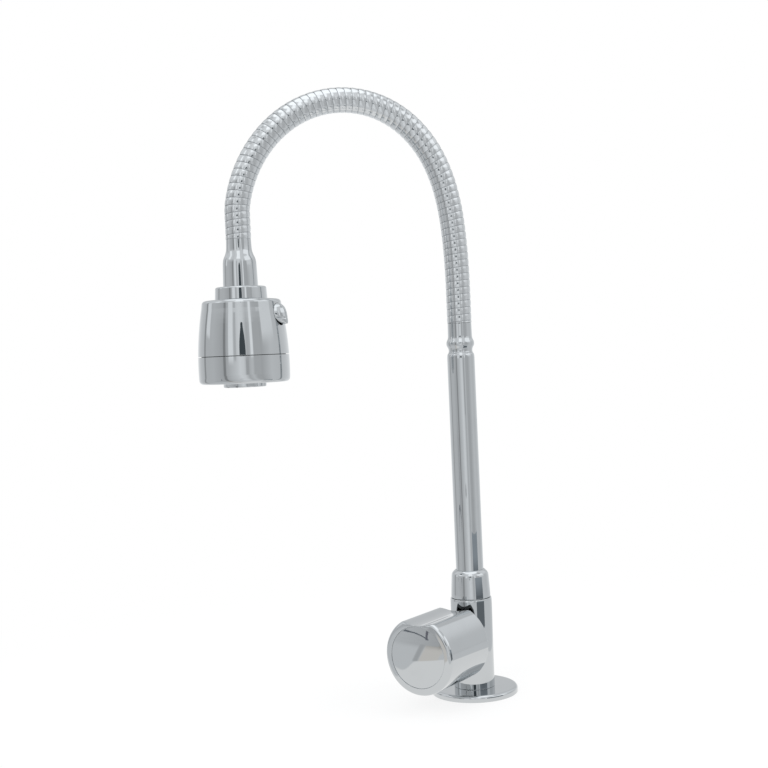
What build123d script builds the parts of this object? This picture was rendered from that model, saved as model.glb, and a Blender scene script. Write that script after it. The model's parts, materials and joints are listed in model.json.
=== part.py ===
"""Kitchen tap with a quarter-turn knob, a swivelling riser, a bendable ribbed hose and a two-jet head.

Millimetres, +Z up. The origin is the centre of the deck face, where the flange rests. The hose
bends in the XZ plane and its spout leans towards -X. The knob points to the front left.
"""
import os
from math import asin, cos, degrees, pi, radians, sin

from build123d import *

os.makedirs("parts", exist_ok=True)
pieces = {}

# Deck fitting
FLANGE_RADIUS = 25.0
FLANGE_HEIGHT = 3.7
FLANGE_EDGE = 1.6
SHANK_RADIUS = 10.48
SHANK_BORE = 6.0
SHANK_LENGTH = 50.0
SHANK_RELIEF = 27.5
SHANK_CLEARANCE = 0.12
SPIGOT_RADIUS = 9.0
SPIGOT_TOP = 15.0
DECK_THICKNESS = 14.0
RUBBER_WASHER = (18.0, 2.5)
STEEL_WASHER = (17.0, 1.2)
NUT_ACROSS_FLATS = 28.0
NUT_HEIGHT = 8.0

# Valve body
BODY_RADIUS = 11.95
BODY_TOP = 55.4
BODY_CHAMFER = 0.5
SOCKET_FLOOR = 45.0
SOCKET_RADIUS = 9.4
THREAD_FLOOR = 50.2
THREAD_RADIUS = 10.3
OUTLET_BORE = 5.5

# Valve axis, level, to the front left
AXIS_HEIGHT = 33.2
KNOB_ANGLE = 43.0
BOSS_RADIUS = 12.0
BOSS_END = 23.0
CHAMBER_RADIUS = 9.2
CHAMBER_START = -3.0
CHAMBER_END = 13.0
BONNET_THREAD = 10.0
DISC_RADIUS = 7.4
SPINDLE_RADIUS = 4.0
SPINDLE_BORE = 4.08
BONNET_END = 35.0
SPINDLE_END = 46.0

# Knob
KNOB_RADIUS = 21.3
KNOB_REAR = 18.6
KNOB_FRONT = 59.2
KNOB_EDGE = 2.2
KNOB_WALL = 2.0
FLUTE_RADIUS = 23.4
FLUTE_FLOOR = 17.5
WEB_REAR = 50.0
WEB_FRONT = 53.0
CAP_RADIUS = 16.85
CAP_RECESS = 17.05
CAP_DOME = 1.3

# Swivel and riser
TUBE_RADIUS = 7.95
TUBE_BORE = 6.95
TUBE_TOP = 197.6
TUBE_FOOT = 46.0
COLLAR_FOOT_RADIUS = 11.35
COLLAR_TOP_RADIUS = 10.75
COLLAR_TOP = 71.8
RUNNING_FIT = 0.08

# Hose: links of five ribs, bending from upright at the riser to straight down at the head
HOSE_START = 215.0
LINK_LENGTH = 19.5
RIBS_PER_LINK = 5
RIB_RADIUS = 7.1
GROOVE_RADIUS = 6.3
GROOVE_WIDTH = 1.15
JOINT_GAP = 1.5
JOINT_RADIUS = 5.6
RIB_CORNER = 0.35
HOSE_BORE = 4.7
LINER_RADIUS = 4.1
LINER_BORE = 3.1
STRAIGHT_END = 14.4
LINK_BENDS = [0, 2.5, 3.5, 8, 13, 17, 20, 20.5, 20, 19, 17, 15, 15, 9.5]

# Head, measured down its own upright axis
HEAD_TOP = 232.5
HEAD_SEAM = 201.4
HEAD_BOTTOM = 186.3
OUTLET_BOTTOM = 184.0
OUTLET_RADIUS = 11.9
SHELL_SHOULDER_RADIUS = 22.1
SHELL_SHOULDER_HEIGHT = 229.6
SHELL_BELLY_RADIUS = 25.4
SHELL_BELLY_HEIGHT = 195.0
SHELL_WALL = 1.8
LEVER_ANGLE = -33.5
LEVER_WIDTH = 10.6
LEVER_PIVOT = (19.5, 224.0)
LEVER_ARM = 11.0
SEAM_GAP = 0.25

UP = Vector(0, 0, 1)
knob_way = Vector(-cos(radians(KNOB_ANGLE)), -sin(radians(KNOB_ANGLE)), 0)
valve_centre = Vector(0, 0, AXIS_HEIGHT)
knob_face = Plane(origin=valve_centre, x_dir=UP.cross(knob_way), z_dir=knob_way)
knob_side = Plane(origin=valve_centre, x_dir=knob_way, z_dir=knob_way.cross(UP))
knob_axis = Axis(valve_centre, knob_way)


def segments():
    """Length and bend of each stretch of the hose, whose two ends are straight."""
    stretches = [(LINK_LENGTH, bend) for bend in LINK_BENDS[:-1]]
    stretches.append((LINK_LENGTH - STRAIGHT_END, LINK_BENDS[-1]))
    stretches.append((STRAIGHT_END, 0))
    return stretches


def hose_point(distance):
    """Place and heading of the hose's centre line, as arcs joined end to end."""
    x, z, heading = 0.0, HOSE_START, pi / 2
    for length, bend in segments():
        step = min(length, distance)
        turn = radians(bend) * step / length
        chord = step if turn == 0 else 2 * step / turn * sin(turn / 2)
        x += chord * cos(heading + turn / 2)
        z += chord * sin(heading + turn / 2)
        heading += turn
        distance -= step
        if distance <= 0:
            break
    return x, z, heading


def hose_plane(distance):
    """Plane across the hose, with its X axis steady along -Y."""
    x, z, heading = hose_point(distance)
    return Plane(origin=(x, 0, z), x_dir=(0, -1, 0), z_dir=(cos(heading), 0, sin(heading)))


hose_length = LINK_LENGTH * len(LINK_BENDS)
head_x, hose_end, _ = hose_point(hose_length)
head_plane = Plane(origin=(head_x, 0, 0), x_dir=(1, 0, 0), z_dir=(0, -1, 0))
head_axis = Axis((head_x, 0, 0), (0, 0, 1))
lever_way = Vector(cos(radians(LEVER_ANGLE)), sin(radians(LEVER_ANGLE)), 0)
lever_side = Plane(origin=(head_x, 0, 0), x_dir=lever_way, z_dir=lever_way.cross(UP))
lever_face = Plane(origin=(head_x, 0, 0), x_dir=UP.cross(lever_way), z_dir=lever_way)
print(f"hose {hose_length:.1f} long, head axis x {head_x:.2f}, hose end z {hose_end:.2f}")


# Deck fitting: flange, gasket, threaded shank, washers and lock nut

with BuildPart() as base_flange:
    with BuildSketch(Plane.XZ):
        with BuildLine():
            Polyline((10.62, 1.4), (10.62, FLANGE_HEIGHT), (FLANGE_RADIUS - FLANGE_EDGE, FLANGE_HEIGHT))
            RadiusArc((FLANGE_RADIUS - FLANGE_EDGE, FLANGE_HEIGHT),
                      (FLANGE_RADIUS, FLANGE_HEIGHT - FLANGE_EDGE), FLANGE_EDGE)
            Polyline((FLANGE_RADIUS, FLANGE_HEIGHT - FLANGE_EDGE), (FLANGE_RADIUS, 0), (23.4, 0),
                     (23.4, 1.4), (10.62, 1.4))
        make_face()
    revolve(axis=Axis.Z)
pieces["base_flange"] = base_flange

with BuildPart() as flange_gasket:
    with BuildSketch():
        Circle(23.2)
        Circle(SHANK_RADIUS + SHANK_CLEARANCE, mode=Mode.SUBTRACT)
    extrude(amount=1.4)
pieces["flange_gasket"] = flange_gasket

with BuildPart() as inlet_shank:
    with BuildSketch(Plane.XY.offset(-SHANK_LENGTH)):
        Circle(SHANK_RADIUS)
    extrude(amount=SHANK_LENGTH + FLANGE_HEIGHT)
    chamfer(inlet_shank.edges().filter_by(GeomType.CIRCLE).sort_by(Axis.Z)[0], 1.0)
    with BuildSketch(Plane.XY.offset(FLANGE_HEIGHT)):
        Circle(SPIGOT_RADIUS)
    extrude(amount=SPIGOT_TOP - FLANGE_HEIGHT)
    with BuildSketch(Plane.XY.offset(-SHANK_RELIEF - 1.5)):
        Circle(SHANK_RADIUS)
        Circle(SHANK_RADIUS - 0.9, mode=Mode.SUBTRACT)
    extrude(amount=1.5, mode=Mode.SUBTRACT)
    with BuildSketch(Plane.XY.offset(-SHANK_LENGTH)):
        Circle(SHANK_BORE)
    extrude(amount=SHANK_LENGTH + SPIGOT_TOP, mode=Mode.SUBTRACT)
pieces["inlet_shank"] = inlet_shank

rubber_bottom = -DECK_THICKNESS - RUBBER_WASHER[1]
with BuildPart() as deck_washer:
    with BuildSketch(Plane.XY.offset(rubber_bottom)):
        Circle(RUBBER_WASHER[0])
        Circle(SHANK_RADIUS + SHANK_CLEARANCE, mode=Mode.SUBTRACT)
    extrude(amount=RUBBER_WASHER[1])
pieces["deck_washer"] = deck_washer

steel_bottom = rubber_bottom - STEEL_WASHER[1]
with BuildPart() as clamp_washer:
    with BuildSketch(Plane.XY.offset(steel_bottom)):
        Circle(STEEL_WASHER[0])
        Circle(SHANK_RADIUS + SHANK_CLEARANCE, mode=Mode.SUBTRACT)
    extrude(amount=STEEL_WASHER[1])
pieces["clamp_washer"] = clamp_washer

with BuildPart() as lock_nut:
    with BuildSketch(Plane.XY.offset(steel_bottom - NUT_HEIGHT)):
        RegularPolygon(NUT_ACROSS_FLATS / 2, 6, major_radius=False)
        Circle(SHANK_RADIUS + 0.05, mode=Mode.SUBTRACT)
    extrude(amount=NUT_HEIGHT)
    chamfer(lock_nut.edges().filter_by(GeomType.CIRCLE), 0.6)
pieces["lock_nut"] = lock_nut


# Valve body, with its boss, water ways and sockets

with BuildPart() as body:
    with BuildSketch(Plane.XY.offset(FLANGE_HEIGHT)):
        Circle(BODY_RADIUS)
    extrude(amount=BODY_TOP - FLANGE_HEIGHT)
    chamfer(body.edges().filter_by(GeomType.CIRCLE).sort_by(Axis.Z)[-1], BODY_CHAMFER)
    with BuildSketch(knob_face):
        Circle(BOSS_RADIUS)
    extrude(amount=BOSS_END)
    with BuildSketch(Plane.XY.offset(FLANGE_HEIGHT)):
        Circle(SPIGOT_RADIUS)
    extrude(amount=SPIGOT_TOP + 2 - FLANGE_HEIGHT, mode=Mode.SUBTRACT)
    with BuildSketch(knob_face.offset(CHAMBER_START)):
        Circle(CHAMBER_RADIUS)
    extrude(amount=CHAMBER_END - CHAMBER_START, mode=Mode.SUBTRACT)
    with BuildSketch(knob_face.offset(CHAMBER_END)):
        Circle(BONNET_THREAD)
    extrude(amount=BOSS_END - CHAMBER_END, mode=Mode.SUBTRACT)
    with BuildSketch(Plane(origin=knob_way * -6.6 + UP * SPIGOT_TOP)):
        Circle(2.6)
    extrude(amount=AXIS_HEIGHT - SPIGOT_TOP, mode=Mode.SUBTRACT)
    with BuildSketch(knob_face.offset(-8.4)):
        Circle(3.4)
    extrude(amount=8.4 + CHAMBER_START, mode=Mode.SUBTRACT)
    with BuildSketch(Plane.XY.offset(AXIS_HEIGHT)):
        Circle(OUTLET_BORE)
    extrude(amount=SOCKET_FLOOR - AXIS_HEIGHT, mode=Mode.SUBTRACT)
    with BuildSketch(Plane.XY.offset(SOCKET_FLOOR)):
        Circle(SOCKET_RADIUS)
    extrude(amount=BODY_TOP - SOCKET_FLOOR, mode=Mode.SUBTRACT)
    with BuildSketch(Plane.XY.offset(THREAD_FLOOR)):
        Circle(THREAD_RADIUS)
    extrude(amount=BODY_TOP - THREAD_FLOOR, mode=Mode.SUBTRACT)
pieces["body"] = body


# Quarter-turn valve: seal, two ceramic discs, bonnet, spindle and their rings

with BuildPart() as seat_seal:
    with BuildSketch(knob_face.offset(CHAMBER_START)):
        Circle(7.2)
        Circle(4.6, mode=Mode.SUBTRACT)
    extrude(amount=2.2)
pieces["seat_seal"] = seat_seal

with BuildPart() as fixed_disc:
    with BuildSketch(knob_face.offset(CHAMBER_START + 2.2)):
        Circle(DISC_RADIUS)
        with Locations((4, 0), (-4, 0)):
            Circle(2.3, mode=Mode.SUBTRACT)
    extrude(amount=3)
pieces["fixed_disc"] = fixed_disc

disc_face = CHAMBER_START + 5.2
with BuildPart() as moving_disc:
    with BuildSketch(knob_face.offset(disc_face + 0.04)):
        Circle(DISC_RADIUS - 0.2)
        with Locations((0, 4), (0, -4)):
            Circle(2.3, mode=Mode.SUBTRACT)
    extrude(amount=2.8)
pieces["moving_disc"] = moving_disc

with BuildPart() as bonnet:
    with BuildSketch(knob_side):
        with BuildLine():
            Polyline((-0.7, DISC_RADIUS + 0.1), (-0.7, 8.5), (CHAMBER_END + 0.1, 8.5),
                     (CHAMBER_END + 0.1, BONNET_THREAD - 0.03), (BOSS_END, BONNET_THREAD - 0.03),
                     (BOSS_END, 10.2), (24.1, 10.2), (24.1, 11.6), (27, 11.6), (27, 7.2),
                     (BONNET_END, 7.2), (BONNET_END, SPINDLE_BORE), (9.6, SPINDLE_BORE),
                     (9.6, DISC_RADIUS + 0.1), close=True)
        make_face()
    revolve(axis=knob_axis)
    with BuildSketch(Plane(origin=valve_centre + knob_way * 6.4 - UP * 12)):
        Circle(2.4)
    extrude(amount=24, mode=Mode.SUBTRACT)
pieces["bonnet"] = bonnet

with BuildPart() as bonnet_o_ring:
    with BuildSketch(knob_side):
        with Locations((23.55, 10.95)):
            Circle(0.52)
    revolve(axis=knob_axis)
pieces["bonnet_o_ring"] = bonnet_o_ring

with BuildPart() as spindle:
    with BuildSketch(knob_side):
        with BuildLine():
            Polyline((5.08, 0), (5.08, 7.0), (8, 7.0), (8, SPINDLE_RADIUS), (14, SPINDLE_RADIUS),
                     (14, 3.0), (15.2, 3.0), (15.2, SPINDLE_RADIUS), (18, SPINDLE_RADIUS), (18, 3.0),
                     (19.2, 3.0), (19.2, SPINDLE_RADIUS), (35.3, SPINDLE_RADIUS), (35.3, 3.2),
                     (36.2, 3.2), (36.2, SPINDLE_RADIUS), (SPINDLE_END, SPINDLE_RADIUS),
                     (SPINDLE_END, 1.95), (36.5, 1.95), (36.5, 0), close=True)
        make_face()
    revolve(axis=knob_axis)
    with BuildSketch(knob_face.offset(37.5)):
        with PolarLocations(SPINDLE_RADIUS, 18):
            RegularPolygon(0.34, 4)
    extrude(amount=SPINDLE_END - 37.5, mode=Mode.SUBTRACT)
pieces["spindle"] = spindle

with BuildPart() as thrust_washer:
    with BuildSketch(knob_face.offset(8.1)):
        Circle(7.3)
        Circle(SPINDLE_BORE, mode=Mode.SUBTRACT)
    extrude(amount=1.4)
pieces["thrust_washer"] = thrust_washer

with BuildPart() as spindle_o_rings:
    with BuildSketch(knob_side):
        with Locations((14.6, 3.5), (18.6, 3.5)):
            Circle(0.5)
    revolve(axis=knob_axis)
pieces["spindle_o_rings"] = spindle_o_rings

with BuildPart() as spindle_clip:
    with BuildSketch(knob_face.offset(35.4)):
        Circle(5.6)
        Circle(3.25, mode=Mode.SUBTRACT)
        with Locations((0, -4.6)):
            Rectangle(3.6, 4, mode=Mode.SUBTRACT)
    extrude(amount=0.7)
pieces["spindle_clip"] = spindle_clip


# Knob: fluted shell, splined insert, screw and domed cap

flute_centre = FLUTE_FLOOR + FLUTE_RADIUS
with BuildPart() as knob_shell:
    with BuildSketch(knob_side):
        with BuildLine():
            Polyline((KNOB_REAR, 0), (KNOB_REAR, KNOB_RADIUS - 0.4), (KNOB_REAR + 0.4, KNOB_RADIUS),
                     (KNOB_FRONT - KNOB_EDGE, KNOB_RADIUS))
            RadiusArc((KNOB_FRONT - KNOB_EDGE, KNOB_RADIUS), (KNOB_FRONT, KNOB_RADIUS - KNOB_EDGE),
                      KNOB_EDGE)
            Polyline((KNOB_FRONT, KNOB_RADIUS - KNOB_EDGE), (KNOB_FRONT, 0), (KNOB_REAR, 0))
        make_face()
    revolve(axis=knob_axis)
    with BuildSketch(knob_face.offset(KNOB_REAR)):
        with Locations((0, flute_centre)):
            Circle(FLUTE_RADIUS)
    extrude(amount=KNOB_FRONT - KNOB_REAR, mode=Mode.SUBTRACT)
    with BuildSketch(knob_face.offset(KNOB_REAR)):
        Circle(KNOB_RADIUS - KNOB_WALL)
        with Locations((0, flute_centre)):
            Circle(FLUTE_RADIUS + KNOB_WALL, mode=Mode.SUBTRACT)
    extrude(amount=WEB_REAR - KNOB_REAR, mode=Mode.SUBTRACT)
    with BuildSketch(knob_face.offset(38)):
        Circle(10)
    extrude(amount=WEB_REAR - 38)
    with BuildSketch(knob_face.offset(38)):
        Circle(8.05)
    extrude(amount=WEB_REAR - 38, mode=Mode.SUBTRACT)
    with BuildSketch(knob_face.offset(WEB_REAR)):
        Circle(2.4)
    extrude(amount=WEB_FRONT - WEB_REAR, mode=Mode.SUBTRACT)
    with BuildSketch(knob_face.offset(WEB_FRONT)):
        Circle(CAP_RECESS)
    extrude(amount=KNOB_FRONT - WEB_FRONT, mode=Mode.SUBTRACT)
pieces["knob_shell"] = knob_shell

with BuildPart() as knob_insert:
    with BuildSketch(knob_face.offset(37.2)):
        Circle(8.0)
        Circle(SPINDLE_RADIUS + 0.03, mode=Mode.SUBTRACT)
    extrude(amount=SPINDLE_END + 0.2 - 37.2)
    with BuildSketch(knob_face.offset(SPINDLE_END + 0.2)):
        Circle(8.0)
        Circle(2.4, mode=Mode.SUBTRACT)
    extrude(amount=WEB_REAR - SPINDLE_END - 0.2)
pieces["knob_insert"] = knob_insert

with BuildPart() as knob_screw:
    with BuildSketch(knob_face.offset(37.5)):
        Circle(1.92)
    extrude(amount=WEB_FRONT + 0.02 - 37.5)
    with BuildSketch(knob_face.offset(WEB_FRONT + 0.02)):
        Circle(3.6)
    extrude(amount=2.2)
    fillet(knob_screw.edges().filter_by(GeomType.CIRCLE).sort_by(knob_axis)[-1], 0.9)
    with BuildSketch(knob_face.offset(WEB_FRONT + 1.2)):
        Rectangle(4.2, 0.8)
        Rectangle(0.8, 4.2)
    extrude(amount=1.2, mode=Mode.SUBTRACT)
pieces["knob_screw"] = knob_screw

dome_edge = CAP_RADIUS - 1.3
dome_radius = (dome_edge ** 2 + CAP_DOME ** 2) / (2 * CAP_DOME)
with BuildPart() as knob_cap:
    with BuildSketch(knob_side):
        with BuildLine():
            Polyline((WEB_FRONT + 0.1, 15.4), (WEB_FRONT + 0.1, CAP_RADIUS), (57.8, CAP_RADIUS))
            ThreePointArc((57.8, CAP_RADIUS), (58.65, CAP_RADIUS - 0.4), (59.0, CAP_RADIUS - 1.3))
            CenterArc((59.0 + CAP_DOME - dome_radius, 0), dome_radius, 0, degrees(asin(dome_edge / dome_radius)))
            Polyline((59.0 + CAP_DOME, 0), (57.4 + CAP_DOME, 0), (57.2, 15.4), (WEB_FRONT + 0.1, 15.4))
        make_face()
    revolve(axis=knob_axis)
pieces["knob_cap"] = knob_cap


# Swivel: end ring on the tube, washer above it and the collar that holds both down

with BuildPart() as riser_tube:
    with BuildSketch(Plane.XY.offset(TUBE_FOOT)):
        Circle(TUBE_RADIUS)
        Circle(TUBE_BORE, mode=Mode.SUBTRACT)
    extrude(amount=TUBE_TOP - TUBE_FOOT)
    fillet(riser_tube.edges().filter_by(GeomType.CIRCLE).group_by(Axis.Z)[-1].sort_by(SortBy.RADIUS)[-1], 0.7)
pieces["riser_tube"] = riser_tube

with BuildPart() as riser_end_ring:
    with BuildSketch(Plane.XZ):
        with BuildLine():
            Polyline((TUBE_RADIUS, 45.4), (9.2, 45.4), (9.2, 46.9), (8.35, 46.9), (8.35, 48.1),
                     (9.2, 48.1), (9.2, 49.9), (TUBE_RADIUS, 49.9), close=True)
        make_face()
    revolve(axis=Axis.Z)
pieces["riser_end_ring"] = riser_end_ring

with BuildPart() as riser_o_ring:
    with BuildSketch(Plane.XZ):
        with Locations((8.85, 47.5)):
            Circle(0.5)
    revolve(axis=Axis.Z)
pieces["riser_o_ring"] = riser_o_ring

with BuildPart() as swivel_washer:
    with BuildSketch(Plane.XY.offset(THREAD_FLOOR)):
        Circle(THREAD_RADIUS - 0.1)
        Circle(TUBE_RADIUS + RUNNING_FIT, mode=Mode.SUBTRACT)
    extrude(amount=1.0)
pieces["swivel_washer"] = swivel_washer

with BuildPart() as swivel_collar:
    with BuildSketch(Plane.XZ):
        with BuildLine():
            Polyline((TUBE_RADIUS + RUNNING_FIT, THREAD_FLOOR + 1.0), (THREAD_RADIUS - 0.03, THREAD_FLOOR + 1.0),
                     (THREAD_RADIUS - 0.03, BODY_TOP), (COLLAR_FOOT_RADIUS - 0.3, BODY_TOP + SEAM_GAP),
                     (COLLAR_FOOT_RADIUS, BODY_TOP + SEAM_GAP + 0.3), (COLLAR_TOP_RADIUS, COLLAR_TOP - 3.4))
            ThreePointArc((COLLAR_TOP_RADIUS, COLLAR_TOP - 3.4), (COLLAR_TOP_RADIUS - 0.72, COLLAR_TOP - 1.0),
                          (COLLAR_TOP_RADIUS - 2.3, COLLAR_TOP))
            Polyline((COLLAR_TOP_RADIUS - 2.3, COLLAR_TOP), (TUBE_RADIUS + RUNNING_FIT, COLLAR_TOP),
                     (TUBE_RADIUS + RUNNING_FIT, THREAD_FLOOR + 1.0))
        make_face()
    revolve(axis=Axis.Z)
pieces["swivel_collar"] = swivel_collar

with BuildPart() as lower_ferrule:
    with BuildSketch(Plane.XZ):
        with BuildLine():
            Polyline((LINER_RADIUS + 0.05, 184), (TUBE_BORE - 0.02, 184), (TUBE_BORE - 0.02, TUBE_TOP),
                     (7.16, TUBE_TOP), (7.16, 201))
            ThreePointArc((7.16, 201), (8.1, 203.1), (7.3, 205.2))
            Polyline((7.3, 205.2), (7.0, HOSE_START), (HOSE_BORE, HOSE_START), (HOSE_BORE, 196),
                     (LINER_RADIUS + 0.05, 196), (LINER_RADIUS + 0.05, 184))
        make_face()
    revolve(axis=Axis.Z)
pieces["lower_ferrule"] = lower_ferrule


# Hose links: each a run of ribs lofted through circles, with its bore

rib_pitch = LINK_LENGTH / RIBS_PER_LINK


def rib_rings(link):
    """Distance and radius of the circles down one link, four to a rib."""
    rings = []
    for rib in range(RIBS_PER_LINK):
        start = link * LINK_LENGTH + rib * rib_pitch + GROOVE_WIDTH / 2
        stop = start + rib_pitch - GROOVE_WIDTH
        rings += [(start, GROOVE_RADIUS), (start + RIB_CORNER, RIB_RADIUS),
                  (stop - RIB_CORNER, RIB_RADIUS), (stop, GROOVE_RADIUS)]
    if link > 0:
        rings[0] = (link * LINK_LENGTH + JOINT_GAP / 2, JOINT_RADIUS)
        rings[1] = (link * LINK_LENGTH + JOINT_GAP / 2 + 0.45, RIB_RADIUS)
    if link < len(LINK_BENDS) - 1:
        rings[-1] = ((link + 1) * LINK_LENGTH - JOINT_GAP / 2, JOINT_RADIUS)
        rings[-2] = ((link + 1) * LINK_LENGTH - JOINT_GAP / 2 - 0.45, RIB_RADIUS)
    return rings


for link in range(len(LINK_BENDS)):
    rings = rib_rings(link)
    if link == 0:
        rings[0] = (0.0, GROOVE_RADIUS)
    if link == len(LINK_BENDS) - 1:
        rings[-1] = (hose_length, GROOVE_RADIUS)
    with BuildPart() as hose_link:
        for distance, radius in rings:
            with BuildSketch(hose_plane(distance)):
                Circle(radius)
        loft(ruled=True)
        first, last = rings[0][0], rings[-1][0]
        for step in range(RIBS_PER_LINK + 1):
            with BuildSketch(hose_plane(first + (last - first) * step / RIBS_PER_LINK)):
                Circle(HOSE_BORE)
        loft(ruled=True, mode=Mode.SUBTRACT)
    pieces[f"hose_link_{link + 1:02d}"] = hose_link

with BuildPart() as water_tube:
    liner_steps = 2 * len(LINK_BENDS)
    for radius, mode in ((LINER_RADIUS, Mode.ADD), (LINER_BORE, Mode.SUBTRACT)):
        with BuildSketch(Plane.XY.offset(186)):
            Circle(radius)
        for step in range(liner_steps + 1):
            with BuildSketch(hose_plane(hose_length * step / liner_steps)):
                Circle(radius)
        with BuildSketch(Plane(origin=(head_x, 0, 250), x_dir=(0, -1, 0), z_dir=(0, 0, -1))):
            Circle(radius)
        loft(ruled=True, mode=mode)
pieces["water_tube"] = water_tube


# Head: neck on the hose, then the swivelling collar, shells, water way, spray plate and outlet

with BuildPart() as head_neck:
    with BuildSketch(head_plane):
        with BuildLine():
            Polyline((HOSE_BORE, hose_end), (6.9, hose_end), (7.15, 260.2))
            Bezier((7.15, 260.2), (7.2, 256.4), (9.4, 256.2), (9.45, 251.2))
            Polyline((9.45, 251.2), (9.7, 243), (9.7, 236.9), (11.6, 236.9), (11.6, 233.4), (3.6, 233.4),
                     (3.6, 248), (LINER_RADIUS + 0.05, 248), (LINER_RADIUS + 0.05, 256), (HOSE_BORE, 257),
                     (HOSE_BORE, hose_end))
        make_face()
    revolve(axis=head_axis)
pieces["head_neck"] = head_neck

with BuildPart() as neck_seal:
    with BuildSketch(Plane(origin=(head_x, 0, HEAD_TOP))):
        Circle(11.3)
        Circle(4.2, mode=Mode.SUBTRACT)
    extrude(amount=0.8)
pieces["neck_seal"] = neck_seal

with BuildPart() as head_collar:
    with BuildSketch(head_plane):
        with BuildLine():
            Polyline((12.95, HEAD_TOP + SEAM_GAP), (14.6, HEAD_TOP + SEAM_GAP), (14.3, 238.6))
            ThreePointArc((14.3, 238.6), (13.98, 239.45), (13.2, 239.8))
            Polyline((13.2, 239.8), (9.7 + RUNNING_FIT, 239.8), (9.7 + RUNNING_FIT, 237.2), (12.95, 237.2),
                     (12.95, HEAD_TOP + SEAM_GAP))
        make_face()
    revolve(axis=head_axis)
pieces["head_collar"] = head_collar

belly_radius = ((SHELL_SHOULDER_HEIGHT - SHELL_BELLY_HEIGHT) ** 2
                + (SHELL_BELLY_RADIUS - SHELL_SHOULDER_RADIUS) ** 2) / (2 * (SHELL_BELLY_RADIUS - SHELL_SHOULDER_RADIUS))


def belly(height):
    """Outer radius of the head's shells, one long arc that is widest at the belly."""
    fall = height - SHELL_BELLY_HEIGHT
    return SHELL_BELLY_RADIUS - belly_radius + (belly_radius ** 2 - fall ** 2) ** 0.5


middle = (SHELL_SHOULDER_HEIGHT + HEAD_SEAM) / 2
window_low, window_high = 216.9, 230.4
with BuildPart() as upper_shell:
    with BuildSketch(head_plane):
        with BuildLine():
            Polyline((3.8, HEAD_TOP), (11.75, HEAD_TOP), (11.75, 236.9), (12.9, 236.9), (12.9, HEAD_TOP),
                     (19.4, HEAD_TOP))
            ThreePointArc((19.4, HEAD_TOP), (21.35, 231.75), (SHELL_SHOULDER_RADIUS, SHELL_SHOULDER_HEIGHT))
            ThreePointArc((SHELL_SHOULDER_RADIUS, SHELL_SHOULDER_HEIGHT), (belly(middle), middle),
                          (belly(HEAD_SEAM), HEAD_SEAM + SEAM_GAP))
            Polyline((belly(HEAD_SEAM), HEAD_SEAM + SEAM_GAP), (23.45, HEAD_SEAM + SEAM_GAP), (23.45, 207.2),
                     (belly(207.2) - SHELL_WALL, 207.2))
            ThreePointArc((belly(207.2) - SHELL_WALL, 207.2), (belly(218) - SHELL_WALL, 218),
                          (SHELL_SHOULDER_RADIUS - SHELL_WALL, SHELL_SHOULDER_HEIGHT - 0.4))
            Polyline((SHELL_SHOULDER_RADIUS - SHELL_WALL, SHELL_SHOULDER_HEIGHT - 0.4), (19.0, 230.5),
                     (3.8, 230.5), (3.8, HEAD_TOP))
        make_face()
    revolve(axis=head_axis)
    with BuildSketch(lever_face.offset(18.8)):
        with Locations((0, (window_low + window_high) / 2)):
            Ellipse(LEVER_WIDTH / 2 + 0.45, (window_high - window_low) / 2)
    extrude(amount=7.2, mode=Mode.SUBTRACT)
pieces["upper_shell"] = upper_shell

with BuildPart() as lower_shell:
    with BuildSketch(head_plane):
        with BuildLine():
            ThreePointArc((belly(HEAD_SEAM), HEAD_SEAM), (SHELL_BELLY_RADIUS, SHELL_BELLY_HEIGHT),
                          (belly(188.6) - 0.1, 188.6))
            ThreePointArc((belly(188.6) - 0.1, 188.6), (24.6, 186.95), (23.0, HEAD_BOTTOM))
            Polyline((23.0, HEAD_BOTTOM), (22.3, HEAD_BOTTOM), (22.3, 187.8), (23.5, 187.8), (23.5, 200.0),
                     (20.6, 200.0), (20.6, 201.4), (21.7, 201.4), (21.7, 207.0), (23.4, 207.0),
                     (23.4, HEAD_SEAM),
                     (belly(HEAD_SEAM), HEAD_SEAM))
        make_face()
    revolve(axis=head_axis)
pieces["lower_shell"] = lower_shell

plunger_place = lever_way * 8.5 + Vector(head_x, 0, 0)
with BuildPart() as water_way:
    with BuildSketch(head_plane):
        with BuildLine():
            Polyline((0, 204), (11.5, 204), (11.5, 187.6), (13.3, 187.6), (13.3, 201.5), (21.5, 201.5),
                     (21.5, 204), (17, 204), (17, 212), (15.5, 213.5), (15.5, 230.4), (0, 230.4), close=True)
        make_face()
    revolve(axis=head_axis)
    with BuildSketch(Plane(origin=(head_x, 0, 207.6))):
        Circle(3.2)
    extrude(amount=23, mode=Mode.SUBTRACT)
    with BuildSketch(Plane(origin=plunger_place + UP * 206)):
        Circle(3.4)
    extrude(amount=13.2, mode=Mode.SUBTRACT)
    with BuildSketch(Plane(origin=plunger_place + UP * 204)):
        Circle(2.3)
    extrude(amount=2, mode=Mode.SUBTRACT)
    with BuildSketch(Plane(origin=(head_x, 0, 209.3), z_dir=lever_way)):
        Circle(1.4)
    extrude(amount=16.3, mode=Mode.SUBTRACT)
    with BuildSketch(Plane(origin=lever_way * 14.9 + Vector(head_x, 0, 201.5))):
        Circle(1.1)
    extrude(amount=7.8, mode=Mode.SUBTRACT)
    with BuildSketch(lever_side):
        with Locations((10.6, 225)):
            Rectangle(11.6, 11.6)
    extrude(amount=3.8, both=True, mode=Mode.SUBTRACT)
    with BuildSketch(lever_side):
        with Locations((17.2, 224)):
            Rectangle(7.2, 4.4)
    extrude(amount=4.9, both=True)
    with BuildSketch(lever_side):
        with Locations((17.2, 224)):
            Rectangle(7.3, 4.5)
    extrude(amount=3.4, both=True, mode=Mode.SUBTRACT)
    with BuildSketch(lever_side):
        with Locations(LEVER_PIVOT):
            Circle(0.95)
    extrude(amount=6, both=True, mode=Mode.SUBTRACT)
pieces["water_way"] = water_way

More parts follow.
